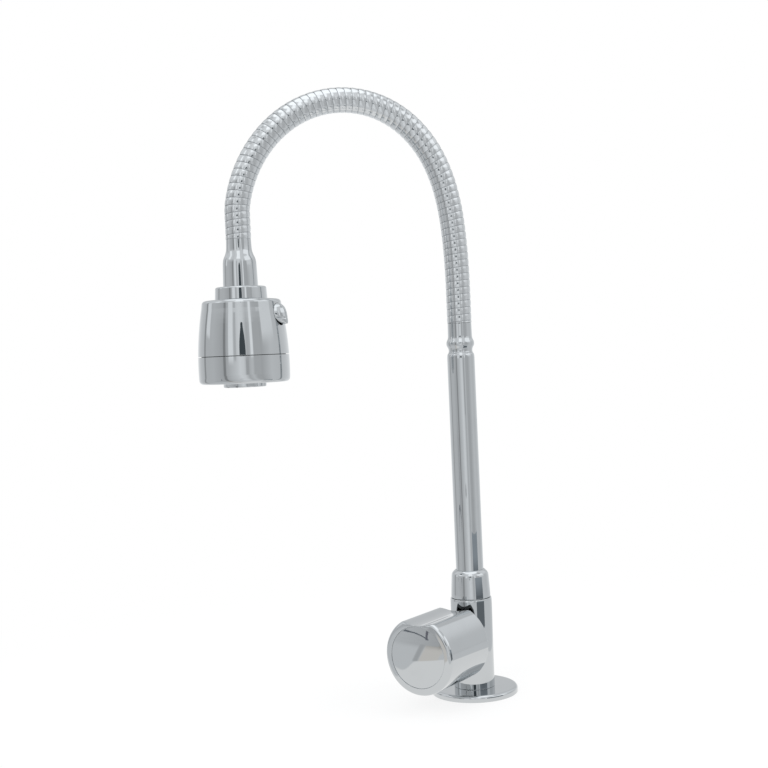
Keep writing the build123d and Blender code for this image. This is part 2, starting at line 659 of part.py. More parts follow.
with BuildPart() as jet_plunger:
    for bottom, top, radius in ((206.3, 207.9, 2.9), (207.9, 211, 1.8), (211, 211.9, 3.3), (211.9, 213, 2.5),
                                (213, 215.6, 3.3), (215.6, 216.7, 2.5), (216.7, 218.2, 3.3), (218.2, 227.3, 1.6),
                                (220.7, 222.3, 3.3), (225.7, 227.3, 3.3)):
        with BuildSketch(Plane(origin=plunger_place + UP * bottom)):
            Circle(radius)
        extrude(amount=top - bottom)
pieces["jet_plunger"] = jet_plunger

with BuildPart() as plunger_o_rings:
    for height in (212.45, 216.15):
        with BuildSketch(Plane(origin=plunger_place, x_dir=(1, 0, 0), z_dir=(0, -1, 0))):
            with Locations((2.91, height)):
                Circle(0.39)
        revolve(axis=Axis(plunger_place, (0, 0, 1)))
pieces["plunger_o_rings"] = plunger_o_rings

paddle_low, paddle_high = 218.0, 229.9
with BuildPart() as switch_lever:
    with BuildSketch(lever_side):
        with BuildLine():
            Polyline((21.6, paddle_low), (27.0, paddle_low))
            ThreePointArc((27.0, paddle_low), (27.75, 218.45), (28.0, 219.4))
            ThreePointArc((28.0, 219.4), (27.5, 223.6), (26.4, 227.0))
            ThreePointArc((26.4, 227.0), (25.2, 228.8), (23.2, paddle_high))
            Polyline((23.2, paddle_high), (21.6, paddle_high), (21.6, paddle_low))
        make_face()
    extrude(amount=LEVER_WIDTH / 2, both=True)
    with BuildSketch(lever_face):
        with Locations((0, (paddle_low + paddle_high) / 2)):
            Ellipse(LEVER_WIDTH / 2, (paddle_high - paddle_low) / 2)
    extrude(amount=35, mode=Mode.INTERSECT)
    fillet(switch_lever.edges().filter_by(lambda e: (e.center() - Vector(head_x, 0, 0)).dot(lever_way) > 23.5
                                          and e.geom_type != GeomType.LINE), 0.7)
    with BuildSketch(lever_side):
        with Locations((19.9, 224)):
            Rectangle(4.6, 4.6)
    extrude(amount=3.0, both=True)
    with BuildSketch(lever_side):
        with Locations((12.6, 224)):
            Rectangle(11.8, 1.6)
    extrude(amount=3.0, both=True)
    with BuildSketch(Plane(origin=plunger_place + UP * 222)):
        Circle(2.1)
    extrude(amount=4, mode=Mode.SUBTRACT)
    with BuildSketch(lever_side):
        with Locations((6.0, 224)):
            Rectangle(5.0, 4.0)
    extrude(amount=2.1, both=True, mode=Mode.SUBTRACT)
    with BuildSketch(lever_side):
        with Locations(LEVER_PIVOT):
            Circle(0.95)
    extrude(amount=6, both=True, mode=Mode.SUBTRACT)
pieces["switch_lever"] = switch_lever

with BuildPart() as lever_pin:
    with BuildSketch(lever_side.offset(-4.8)):
        with Locations(LEVER_PIVOT):
            Circle(0.9)
    extrude(amount=9.6)
pieces["lever_pin"] = lever_pin

with BuildPart() as spray_plate:
    with BuildSketch(Plane(origin=(head_x, 0, 187.9))):
        Circle(23.4)
        Circle(13.45, mode=Mode.SUBTRACT)
        for ring_radius, count in ((15.4, 18), (17.9, 24), (20.4, 30)):
            with PolarLocations(ring_radius, count):
                Circle(0.55, mode=Mode.SUBTRACT)
    extrude(amount=2.0)
pieces["spray_plate"] = spray_plate

with BuildPart() as aerator_housing:
    with BuildSketch(head_plane):
        with BuildLine():
            Polyline((9.6, OUTLET_BOTTOM), (OUTLET_RADIUS - 0.5, OUTLET_BOTTOM),
                     (OUTLET_RADIUS, OUTLET_BOTTOM + 0.5), (OUTLET_RADIUS, 187.3), (11.4, 187.6),
                     (11.4, 196), (10.2, 196), (10.2, 186.2), (9.6, 185.6), close=True)
        make_face()
    revolve(axis=head_axis)
pieces["aerator_housing"] = aerator_housing

with BuildPart() as aerator_screen:
    with BuildSketch(Plane(origin=(head_x, 0, 186.4))):
        Circle(9.3)
        with GridLocations(2.2, 2.2, 9, 9):
            Rectangle(1.6, 1.6, mode=Mode.SUBTRACT)
    extrude(amount=1.2)
    with BuildSketch(Plane(origin=(head_x, 0, 186.4))):
        Circle(10.1)
        Circle(9.2, mode=Mode.SUBTRACT)
    extrude(amount=6)
pieces["aerator_screen"] = aerator_screen

with BuildPart() as aerator_washer:
    with BuildSketch(Plane(origin=(head_x, 0, 196.1))):
        Circle(11.3)
        Circle(8.2, mode=Mode.SUBTRACT)
    extrude(amount=1.6)
pieces["aerator_washer"] = aerator_washer

for label, piece in pieces.items():
    piece.part.label = label
    export_step(piece.part, f"parts/{label}.step")
print(len(pieces), "nodes written")
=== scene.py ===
"""Kitchen tap with a side knob, a swivelling riser, a wound bendable hose and a two-jet head.

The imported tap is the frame. The operators below build its shown pieces around it, in metres, with
the deck at z = 0, the spout towards -X and the knob to the front left.
"""
import json
from math import asin, atan2, cos, degrees, floor, hypot, pi, radians, sin, sqrt

import bmesh
import bpy
from mathutils import Matrix, Vector


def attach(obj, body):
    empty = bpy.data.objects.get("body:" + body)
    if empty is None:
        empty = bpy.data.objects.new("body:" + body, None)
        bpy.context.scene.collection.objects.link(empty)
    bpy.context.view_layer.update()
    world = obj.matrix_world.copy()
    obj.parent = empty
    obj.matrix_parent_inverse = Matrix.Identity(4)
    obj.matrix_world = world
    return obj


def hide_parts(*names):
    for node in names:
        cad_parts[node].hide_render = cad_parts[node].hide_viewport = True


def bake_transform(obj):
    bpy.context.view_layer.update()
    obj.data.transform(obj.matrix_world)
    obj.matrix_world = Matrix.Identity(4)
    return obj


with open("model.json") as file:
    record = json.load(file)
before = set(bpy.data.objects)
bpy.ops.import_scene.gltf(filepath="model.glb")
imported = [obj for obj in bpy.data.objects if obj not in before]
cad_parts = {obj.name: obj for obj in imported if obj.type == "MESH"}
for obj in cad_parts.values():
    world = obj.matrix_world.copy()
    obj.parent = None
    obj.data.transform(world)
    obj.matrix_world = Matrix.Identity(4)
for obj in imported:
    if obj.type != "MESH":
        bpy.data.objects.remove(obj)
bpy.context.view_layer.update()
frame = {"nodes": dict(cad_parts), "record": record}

bl_info = {
    "name": "Kitchen tap with a bendable spout",
    "version": (1, 0, 0),
    "blender": (4, 5, 0),
    "location": "3D View > Sidebar > Tap",
    "description": "Builds the shown pieces of a kitchen tap around its packed solids",
    "category": "Add Mesh",
}

MM = 0.001
UP = Vector((0, 0, 1))

# The hose's course: links of one length, bent by these degrees, upright at first and straight at the end
LINK_LENGTH = 19.5
LINK_BENDS = (0, 2.5, 3.5, 8, 13, 17, 20, 20.5, 20, 19, 17, 15, 15, 9.5)
STRAIGHT_END = 14.4
HOSE_START = 215.0
HOSE_LENGTH = LINK_LENGTH * len(LINK_BENDS)
HOSE_BODIES = ["riser"] + [f"link_{number:02d}" for number in range(2, 14)] + ["spout_end"]

# The valve's level axis, and the way that the knob points
AXIS_HEIGHT = 33.2
KNOB_ANGLE = radians(43)

# The head's side, one long arc from its belly up to its shoulder
BELLY_RADIUS, BELLY_HEIGHT = 25.4, 195.0
SHOULDER_RADIUS, SHOULDER_HEIGHT = 22.1, 229.6

# The jet switch: the way that it points, and its oval's middle and reach above and below
LEVER_ANGLE = radians(-33.5)
OVAL_MIDDLE, OVAL_ABOVE, OVAL_BELOW = 223.8, 6.0, 5.4


# Finishes

class Link:
    """An output socket, on which Python's operators add Math nodes."""

    def __init__(self, finish, socket):
        self.finish = finish
        self.socket = socket

    def math(self, operation, *others):
        values = dict(enumerate((self.socket, *others)))
        return self.finish.node("ShaderNodeMath", {"operation": operation}, values)

    def __add__(self, other):
        return self.math("ADD", other)

    def __mul__(self, other):
        return self.math("MULTIPLY", other)

    def __rsub__(self, other):
        return self.finish.node("ShaderNodeMath", {"operation": "SUBTRACT"}, {0: other, 1: self})

    def __truediv__(self, other):
        return self.math("DIVIDE", other)

    __radd__ = __add__
    __rmul__ = __mul__

    def between(self, low, high):
        """0 below low, 1 above high and a smooth step in between."""
        values = {"Value": self, "From Min": low, "From Max": high}
        return self.finish.node("ShaderNodeMapRange", {"interpolation_type": "SMOOTHSTEP"}, values)

    def within(self, low, high, soft):
        """1 from low to high, easing to 0 over soft on both sides."""
        return self.between(low - soft, low) * (1 - self.between(high, high + soft))

    def toward(self, share, other):
        """Moves by a share from this value to another."""
        return self + share * (other - self)


class Finish:
    """A node tree under construction, for a material or the world."""

    def __init__(self, holder):
        holder.use_nodes = True
        self.holder = holder
        self.tree = holder.node_tree
        self.tree.nodes.clear()

    def node(self, kind, settings=None, values=None, output=0):
        """Adds one node, sets it up, then fills its sockets with values or links."""
        made = self.tree.nodes.new(kind)
        for name, value in (settings or {}).items():
            if name == "stops":
                ramp = made.color_ramp
                while len(ramp.elements) < len(value):
                    ramp.elements.new(1.0)
                for element, (place, colour) in zip(ramp.elements, value):
                    element.position = place
                    element.color = (*colour, 1.0)
            else:
                setattr(made, name, value)
        for name, value in (values or {}).items():
            if isinstance(value, Link):
                value = value.socket
            if isinstance(value, bpy.types.NodeSocket):
                self.tree.links.new(value, made.inputs[name])
            else:
                made.inputs[name].default_value = value
        return Link(self, made.outputs[output]) if made.outputs else made

    def place(self):
        return self.node("ShaderNodeTexCoord", output="Object")

    def noise(self, scale, detail=2.0, roughness=0.5, vector=None):
        values = {"Vector": vector or self.place(), "Scale": scale, "Detail": detail, "Roughness": roughness}
        return self.node("ShaderNodeTexNoise", {"noise_dimensions": "3D"}, values)

    def blend(self, share, first, second):
        """A colour between two colours."""
        settings = {"data_type": "RGBA", "blend_type": "MIX", "clamp_factor": True}
        first, second = (part if isinstance(part, Link) else (*part, 1.0) for part in (first, second))
        return self.node("ShaderNodeMix", settings, {0: share, 6: first, 7: second}, output=2)

    def bump(self, height, strength, distance):
        values = {"Height": height, "Strength": strength, "Distance": distance}
        return self.node("ShaderNodeBump", None, values)

    def surface(self, **values):
        """The shader and the output, which end every material."""
        named = {name.replace("_", " ").title(): value for name, value in values.items()}
        shader = self.node("ShaderNodeBsdfPrincipled", None, named)
        self.node("ShaderNodeOutputMaterial", None, {"Surface": shader})
        return self.holder


def started(name):
    return Finish(bpy.data.materials.new(name))


def chrome(name, colour, haze=0.02, cast=None):
    """Polished plate: mirror bright, with faint handling marks and the plate's slight unevenness.

    With a shade colour, a marked attribute turns it to that dark, dull colour: painted shade in hollows and
    gaps.
    """
    finish = started(name)
    marks = finish.noise(55, 4, 0.62).between(0.48, 0.72)
    dots = finish.noise(900, 1, 0.4).between(0.66, 0.74)
    rough = haze + marks * 0.03 + dots * 0.03
    tone = finish.blend(marks * 0.5, colour, tuple(0.94 * part for part in colour))
    # Painted shade: where the mark is set, the plate turns to the dark shade colour and dulls
    if cast:
        inside = finish.node("ShaderNodeAttribute", {"attribute_name": "inside"}, output="Fac")
        tone = finish.blend(inside, tone, cast)
        rough = rough.toward(inside, 0.6)
    wave = finish.noise(70, 2, 0.4)
    return finish.surface(base_color=tone, metallic=1.0, roughness=rough,
                          normal=finish.bump(wave, 0.05, 0.0004))


def hose_chrome(name, colour, seam_dirt_and_shade):
    """Plate on the wound strip: bright on the bands, dull and darker down in the seams, with dirt and painted
    shade.
    """
    finish = started(name)
    seam = finish.node("ShaderNodeAttribute", {"attribute_name": "seam"}, output="Fac")
    marks = finish.noise(160, 3, 0.6).between(0.42, 0.7)
    worn = finish.blend(marks * 0.4, colour, tuple(0.9 * part for part in colour))
    # The seams darken with dirt and painted shade
    tone = finish.blend(seam, worn, seam_dirt_and_shade)
    rough = 0.12 + marks * 0.05 + seam * 0.25
    wave = finish.noise(420, 2, 0.5)
    return finish.surface(base_color=tone, metallic=1.0, roughness=rough,
                          normal=finish.bump(wave, 0.06, 0.0002))


def turned_metal(name, colour, rough=0.26):
    """Metal from the lathe: fine rings, with stains between bright passes."""
    finish = started(name)
    stains = finish.noise(90, 4, 0.6)
    values = {"Vector": finish.place(), "Scale": (0.05, 0.05, 1.0)}
    lines = finish.noise(2600, 2, 0.7, finish.node("ShaderNodeMapping", None, values))
    tone = finish.blend(stains.between(0.45, 0.75), colour, tuple(0.72 * part for part in colour))
    return finish.surface(base_color=tone, metallic=1.0, roughness=rough + lines * 0.14,
                          normal=finish.bump(lines, 0.16, 0.0002))


def moulded(name, colour, rough, grain, depth, fleck):
    """Plastic or rubber out of a mould: even colour, fine grain and slightly uneven gloss."""
    finish = started(name)
    clouds = finish.noise(120, 3, 0.5)
    fine = finish.noise(grain, 2, 0.6)
    tone = finish.blend(clouds.between(0.35, 0.7), colour, tuple(fleck * part for part in colour))
    return finish.surface(base_color=tone, roughness=rough + fine * 0.12,
                          normal=finish.bump(fine, depth, 0.0003))


# Mesh helpers, in millimetres

def brace(wire):
    """Splits long edges just beside a rounding, so that the rounding's shading stays out of them.

    Two passes serve an edge with a rounding at both ends.
    """
    for _ in range(2):
        for edge in wire.edges[:]:
            length = edge.calc_length()
            for corner in edge.verts:
                near = [other for other in corner.link_edges if other != edge]
                if length < 0.6 or len(near) != 1 or near[0].calc_length() > 0.35 * length:
                    continue
                ahead = edge.other_vert(corner).co - corner.co
                if ahead.angle(corner.co - near[0].other_vert(corner).co) > radians(1):
                    bmesh.utils.edge_split(edge, corner, 0.15 / length)
                    break


def turned(outline, steps=144, closed=True, place=None, start=0.0):
    """A round piece: corners of (radius, height, rounding), joined up and spun once about Z.

    The rounding may be left out. The spin starts at an angle, and place moves what it makes.
    """
    bm = bmesh.new()
    corners = [bm.verts.new((radius, 0, height)) for radius, height, *_ in outline]
    pairs = list(zip(corners, corners[1:])) + ([(corners[-1], corners[0])] if closed else [])
    for pair in pairs:
        bm.edges.new(pair)
    for corner, (_, _, *rounding) in zip(corners, outline):
        if rounding:
            bmesh.ops.bevel(bm, geom=[corner], offset=rounding[0], offset_type="OFFSET", segments=6,
                            profile=0.5, affect="VERTICES", material=-1)
    brace(bm)
    if start:
        bm.transform(Matrix.Rotation(start, 4, "Z"))
    bmesh.ops.spin(bm, geom=bm.verts[:] + bm.edges[:], cent=(0, 0, 0), axis=(0, 0, 1), dvec=(0, 0, 0),
                   angle=2 * pi, steps=steps, use_merge=True, use_duplicate=False)
    bmesh.ops.remove_doubles(bm, verts=bm.verts[:], dist=1e-4)
    if place is not None:
        bm.transform(place)
    return bm


def joined(*meshes):
    """One bmesh of several."""
    whole = bmesh.new()
    for bm in meshes:
        scratch = bpy.data.meshes.new("scratch")
        bm.to_mesh(scratch)
        bm.free()
        whole.from_mesh(scratch)
        bpy.data.meshes.remove(scratch)
    return whole


def piece(bm, name, finish, body=None, replaced=(), crease=32, outward=True):
    """Turns a bmesh in millimetres into a shown piece in metres, smooth but for its creases.

    With outward, its faces are first turned outwards.
    """
    if outward:
        bmesh.ops.recalc_face_normals(bm, faces=bm.faces[:])
    for face in bm.faces:
        face.smooth = True
    for edge in bm.edges:
        edge.smooth = len(edge.link_faces) == 2 and edge.calc_face_angle(pi) < radians(crease)
    bm.transform(Matrix.Scale(MM, 4))
    mesh = bpy.data.meshes.new(name)
    bm.to_mesh(mesh)
    bm.free()
    mesh.materials.append(bpy.data.materials[finish])
    shown = bpy.data.objects.new(name, mesh)
    bpy.context.scene.collection.objects.link(shown)
    if body:
        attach(shown, body)
    if replaced:
        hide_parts(*replaced)
    return shown


def hose_point(distance):
    """Place and heading of the hose's centre line in the XZ plane, straight beyond both ends."""
    x, z, heading = 0.0, HOSE_START, pi / 2
    if distance <= 0:
        return x, z + distance, heading
    stretches = [(LINK_LENGTH, bend) for bend in LINK_BENDS[:-1]]
    stretches += [(LINK_LENGTH - STRAIGHT_END, LINK_BENDS[-1]), (STRAIGHT_END, 0)]
    left = distance
    for length, bend in stretches:
        step = min(length, left)
        turn = radians(bend) * step / length
        chord = step if turn == 0 else 2 * step / turn * sin(turn / 2)
        x += chord * cos(heading + turn / 2)
        z += chord * sin(heading + turn / 2)
        heading += turn
        left -= step
        if left <= 0:
            return x, z, heading
    return x + left * cos(heading), z + left * sin(heading), heading


HEAD_X, HOSE_END, _ = hose_point(HOSE_LENGTH)
HEAD_PLACE = Matrix.Translation((HEAD_X, 0, 0))
knob_way = Vector((-cos(KNOB_ANGLE), -sin(KNOB_ANGLE), 0))
knob_side = UP.cross(knob_way)
KNOB_PLACE = Matrix.Translation((0, 0, AXIS_HEIGHT)) @ Matrix((
    (knob_side.x, 0, knob_way.x, 0), (knob_side.y, 0, knob_way.y, 0), (0, 1, 0, 0), (0, 0, 0, 1)))


def bend_along(bm):
    """Bends a straight tube on Z, whose z is the distance along the hose, round the hose's course."""
    for vert in bm.verts:
        x, y, distance = vert.co
        px, pz, heading = hose_point(distance)
        vert.co = (px + x * sin(heading), y, pz - x * cos(heading))


def course(distance):
    """A point of the hose's centre line, in metres."""
    x, z, _ = hose_point(distance)
    return x * MM, 0, z * MM


def lengths(foot, end):
    """What runs through the hose, cut at mid link: each length's number, low end and high end.

    The first length goes down to foot and the last goes on to end.
    """
    last = len(LINK_BENDS) - 1
    for number in range(1, last + 1):
        low = foot if number == 1 else (number - 0.5) * LINK_LENGTH
        high = end if number == last else (number + 0.5) * LINK_LENGTH
        yield number, low, high


def hinged(shown, number):
    """Bakes a length's transform into its mesh; its body and the hinge's ends are looked up but not used."""
    HOSE_BODIES[number - 1]
    course((number - 0.5) * LINK_LENGTH)
    course((number + 0.5) * LINK_LENGTH)
    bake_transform(shown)


def wound(section, pitch, low, high, bore, steps):
    """A tube along Z from low to high, its outside wound from a strip's section of (radius, height).

    The strip rises to the right as seen from outside. Both ends are cut square and closed to the bore.
    """
    first = pitch * (floor(low / pitch) - 2)
    turns = int((high - first) / pitch) + 3
    bm = bmesh.new()
    wire = [bm.verts.new((across, 0, first + along)) for across, along in section]
    for pair in zip(wire, wire[1:]):
        bm.edges.new(pair)
    bmesh.ops.spin(bm, geom=bm.verts[:] + bm.edges[:], cent=(0, 0, 0), axis=(0, 0, 1),
                   dvec=(0, 0, pitch / steps), angle=2 * pi * turns, steps=turns * steps, use_merge=False)
    bm = joined(bm, turned([(bore, low - pitch), (bore, high + pitch)], 32, closed=False))
    for height, way in ((low, -1), (high, 1)):
        bmesh.ops.bisect_plane(bm, geom=bm.verts[:] + bm.edges[:] + bm.faces[:], dist=1e-4,
                               plane_co=(0, 0, height), plane_no=(0, 0, way), clear_outer=True)
    bmesh.ops.remove_doubles(bm, verts=bm.verts[:], dist=0.01)
    bmesh.ops.dissolve_degenerate(bm, edges=bm.edges[:], dist=0.01)
    for height in (low, high):
        rim = [edge for edge in bm.edges
               if edge.is_boundary and all(abs(vert.co.z - height) < 0.02 for vert in edge.verts)]
        bmesh.ops.triangle_fill(bm, edges=rim, use_beauty=True, normal=UP)
    bmesh.ops.recalc_face_normals(bm, faces=bm.faces[:])
    return bm


# What a user would change

class TapFinishes(bpy.types.PropertyGroup):
    chrome: bpy.props.FloatVectorProperty(
        name="Chrome", description="Colour of the polished plate", subtype="COLOR", size=3, min=0, max=1,
        default=(0.558, 0.58, 0.594))
    hose: bpy.props.FloatVectorProperty(
        name="Hose", description="Colour of the wound strip's plate", subtype="COLOR", size=3, min=0, max=1,
        default=(0.645, 0.668, 0.682))
    # The seams' colour: dirt and painted shade down in the wound strip's seams
    seam: bpy.props.FloatVectorProperty(
        name="Hose seams", description="Colour down in the seams of the wound strip", subtype="COLOR", size=3,
        min=0, max=1, default=(0.47, 0.49, 0.505))
    # Painted shade: the dark colour of the knob's hollow and of the gap in the head's seam
    cast: bpy.props.FloatVectorProperty(
        name="Painted hollow shade", description="Colour of the painted shade, in the knob and the seam of the head",
        subtype="COLOR", size=3, min=0, max=1, default=(0.1, 0.105, 0.108))
    brass: bpy.props.FloatVectorProperty(
        name="Brass", description="Colour of the unplated brass", subtype="COLOR", size=3, min=0, max=1,
        default=(0.68, 0.5, 0.23))
    steel: bpy.props.FloatVectorProperty(
        name="Steel", description="Colour of the plain steel pieces", subtype="COLOR", size=3, min=0, max=1,
        default=(0.52, 0.52, 0.53))
    rubber: bpy.props.FloatVectorProperty(
        name="Rubber", description="Colour of washers, seals and rings", subtype="COLOR", size=3,
        min=0, max=1, default=(0.022, 0.022, 0.024))
    white: bpy.props.FloatVectorProperty(
        name="White plastic", description="Colour of the inner tube and slip washers", subtype="COLOR",
        size=3, min=0, max=1, default=(0.78, 0.79, 0.78))
    grey: bpy.props.FloatVectorProperty(
        name="Grey plastic", description="Colour of the moulded pieces in the head", subtype="COLOR", size=3,
        min=0, max=1, default=(0.2, 0.21, 0.22))


class TapSizes(bpy.types.PropertyGroup):
    rib_pitch: bpy.props.FloatProperty(
        name="Band pitch", description="Distance from band to band of the wound hose, in millimetres",
        default=3.9, min=2, max=8)
    band_width: bpy.props.FloatProperty(
        name="Band width", description="Raised width of each band, in millimetres", default=3.5, min=1, max=6)
    hose_radius: bpy.props.FloatProperty(
        name="Hose radius", description="Outer radius of the wound hose, in millimetres",
        default=7.1, min=4, max=12)
    seam_depth: bpy.props.FloatProperty(
        name="Seam depth", description="How far the seams lie below the bands, in millimetres",
        default=0.5, min=0.1, max=1.5)
    knob_radius: bpy.props.FloatProperty(
        name="Knob radius", description="Outer radius of the knob, in millimetres",
        default=21.3, min=15, max=30)
    flute_radius: bpy.props.FloatProperty(
        name="Flute radius", description="Radius of the hollow along the knob, in millimetres",
        default=23.4, min=10, max=40)
    flute_floor: bpy.props.FloatProperty(
        name="Flute floor", description="Distance from the knob's axis to the hollow's floor, in millimetres",
        default=17.5, min=14, max=21)
    lever_width: bpy.props.FloatProperty(
        name="Lever width", description="Width of the jet switch, in millimetres",
        default=10.6, min=6, max=12)


class TapStage(bpy.types.PropertyGroup):
    floor: bpy.props.FloatVectorProperty(
        name="Floor", description="Colour of the floor", subtype="COLOR", size=3, min=0, max=1,
        default=(0.9, 0.9, 0.9))
    room: bpy.props.FloatProperty(
        name="Room", description="Brightness of the room around the tap", default=1.0, min=0, max=2)
    lamp: bpy.props.FloatProperty(
        name="Lamp", description="Power of the soft lamp above, in watts", default=6.0, min=0, max=100)


class TapOperator:
    """What the operators share."""

    bl_options = {"REGISTER", "UNDO"}

    @property
    def sizes(self):
        return bpy.context.scene.tap_sizes


class TAP_OT_finishes(TapOperator, bpy.types.Operator):
    """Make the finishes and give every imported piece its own"""

    bl_idname = "tap.finishes"
    bl_label = "Finishes"

    def execute(self, context):
        colours = context.scene.tap_finishes
        plate, cast = tuple(colours.chrome), tuple(colours.cast)
        chrome("body chrome", plate)
        # Knob and head chrome darken to the shade colour where hollows and gaps are marked: painted shade
        chrome("knob chrome", plate, 0.03, cast)
        chrome("head chrome", plate, 0.02, cast)
        hose_chrome("hose chrome", tuple(colours.hose), tuple(colours.seam))
        turned_metal("brass", tuple(colours.brass))
        turned_metal("steel", tuple(colours.steel), 0.3)
        moulded("black rubber", tuple(colours.rubber), rough=0.55, grain=1500, depth=0.25, fleck=0.8)
        moulded("ceramic", (0.8, 0.79, 0.76), rough=0.12, grain=2400, depth=0.03, fleck=0.97)
        moulded("white plastic", tuple(colours.white), rough=0.38, grain=1600, depth=0.08, fleck=0.95)
        moulded("grey plastic", tuple(colours.grey), rough=0.42, grain=1900, depth=0.15, fleck=0.88)
        for part in frame["record"]["subparts"]:
            node = frame["nodes"][part["node"]]
            node.data.materials.clear()
            node.data.materials.append(bpy.data.materials[part["material_slot"].replace("_", " ")])
        return {"FINISHED"}


class TAP_OT_hose(TapOperator, bpy.types.Operator):
    """Wind the hose's interlocked strip, one length from mid link to mid link"""

    bl_idname = "tap.hose"
    bl_label = "Wound hose"

    bore = 4.75
    # How far a band's edges lie below its crown, and where its shoulder counts as seam
    droop, shoulder = 0.16, 0.18

    def execute(self, context):
        size = self.sizes
        pitch, radius = size.rib_pitch, size.hose_radius
        half = size.band_width / 2
        floor_radius = radius - size.seam_depth
        shares = -1, -0.8, -0.4, 0, 0.4, 0.8, 1
        crown = [(radius - self.droop * share ** 2, half * share) for share in shares]
        section = [(floor_radius, -pitch / 2), (floor_radius, -half - 0.02), *crown,
                   (floor_radius, half + 0.02), (floor_radius, pitch / 2)]
        for number, low, high in lengths(0.0, HOSE_LENGTH):
            length = wound(section, pitch, low, high, self.bore, 64)
            # How deep each point lies in a seam; the seams darken with dirt and painted shade
            depth = length.verts.layers.float.new("seam")
            for vert in length.verts:
                below = radius - self.shoulder - vert.co.xy.length
                vert[depth] = max(0.0, min(1.0, below / (size.seam_depth - self.shoulder)))
            bend_along(length)
            shown = piece(length, f"wound_hose_{number:02d}", "hose chrome", crease=40, outward=False)
            hinged(shown, number)
            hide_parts(f"hose_link_{number:02d}")
        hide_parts(f"hose_link_{len(LINK_BENDS):02d}")
        return {"FINISHED"}


class TAP_OT_water_tube(TapOperator, bpy.types.Operator):
    """Run the inner water tube through the hose"""

    bl_idname = "tap.water_tube"
    bl_label = "Water tube"

    outer, inner = 4.1, 3.1
    # The heights of the tube's ends, in the lower ferrule and in the head's neck
    foot, top = 186, 250

    def execute(self, context):
        for number, low, high in lengths(self.foot - HOSE_START, HOSE_LENGTH + HOSE_END - self.top):
            rows = [low + (high - low) * row / 8 for row in range(9)]
            outline = [(self.outer, row) for row in rows] + [(self.inner, row) for row in reversed(rows)]
            length = turned(outline, 32)
            bmesh.ops.recalc_face_normals(length, faces=length.faces[:])
            bend_along(length)
            shown = piece(length, f"water_tube_{number:02d}", "white plastic", outward=False)
            hinged(shown, number)
            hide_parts("water_tube")
        return {"FINISHED"}


class TAP_OT_body(TapOperator, bpy.types.Operator):
    """Turn the flange, the valve body with its boss, and the collar that holds the riser"""

    bl_idname = "tap.body"
    bl_label = "Flange, body and collar"

    def execute(self, context):
        self.fixed(self.flange(), "deck_flange", "base_flange")
        self.fixed(self.barrel(), "valve_body", "body")
        self.fixed(self.collar(), "riser_collar", "swivel_collar")
        return {"FINISHED"}

    @staticmethod
    def fixed(bm, name, replaced):
        piece(bm, name, "body chrome", "deck_fitting", [replaced])

    @staticmethod
    def flange():
        """A thin disc with a rounded edge, hollow below but for its rim."""
        section = [(10.62, 1.4), (10.62, 3.7), (25, 3.7, 1.7), (25, 0, 0.25), (23.4, 0), (23.4, 1.4)]
        return turned(section, 192)

    @staticmethod
    def barrel():
        """The upright body, open at the top for the riser, and the boss that the knob turns on."""
        barrel = turned([(9, 3.7), (11.75, 3.7, 0.25), (11.8, 20), (12.0, 50.7), (11.95, 54.4),
                         (11.75, 55.4, 0.3), (10.3, 55.4), (10.3, 50.2), (9.4, 50.2), (9.4, 45), (5.5, 45),
                         (5.5, 43), (9, 17)], 160)
        return joined(barrel, turned([(10, 9), (12, 9), (12, 23, 0.4), (10, 23)], 96, place=KNOB_PLACE))

    @staticmethod
    def collar():
        """The tapering collar with its soft shoulder, screwed into the body's top."""
        return turned([(8.03, 51.2), (10.27, 51.2), (10.27, 55.5), (11.35, 55.65, 0.25), (11.3, 57.8),
                       (11.05, 63.1), (10.75, 68.2), (10.55, 69.4), (9.95, 70.4), (9.1, 71.2), (8.5, 71.7),
                       (8.03, 71.8)], 160)


class TAP_OT_riser(TapOperator, bpy.types.Operator):
    """Draw the riser's tube and turn the ferrule that grips the hose"""

    bl_idname = "tap.riser"
    bl_label = "Riser"

    def execute(self, context):
        piece(self.tube(), "riser_pipe", "body chrome", "riser", ["riser_tube"])
        piece(self.ferrule(), "hose_ferrule", "body chrome", "riser", ["lower_ferrule"])
        return {"FINISHED"}

    @staticmethod
    def tube():
        """The plain tube, rolled in at its top."""
        outer, inner, foot, length = 7.95, 6.95, 46, 148
        rows = [(outer, foot + length * row / 12) for row in range(1, 13)]
        rolled = [(outer, 194.9), (7.9, 195.8), (7.74, 196.6), (7.48, 197.3), (7.2, 197.65), (inner, 197.65)]
        return turned([(outer, foot, 0.2), *rows, *rolled, (inner, foot)])

    @staticmethod
    def ferrule():
        """The sleeve between riser and hose, with a waist and a rounded bead."""
        return turned([(4.15, 184), (6.93, 184), (6.93, 197.7), (7.1, 197.8), (6.9, 198.4), (6.85, 199.2),
                       (6.95, 200.0), (7.22, 200.7), (7.62, 201.4), (7.93, 202.1), (8.08, 202.8),
                       (8.08, 203.5), (7.93, 204.2), (7.64, 204.9), (7.3, 205.6), (7.08, 206.4),
                       (6.98, 207.4), (6.88, 214.85, 0.2), (4.7, 215), (4.7, 196), (4.15, 196)])


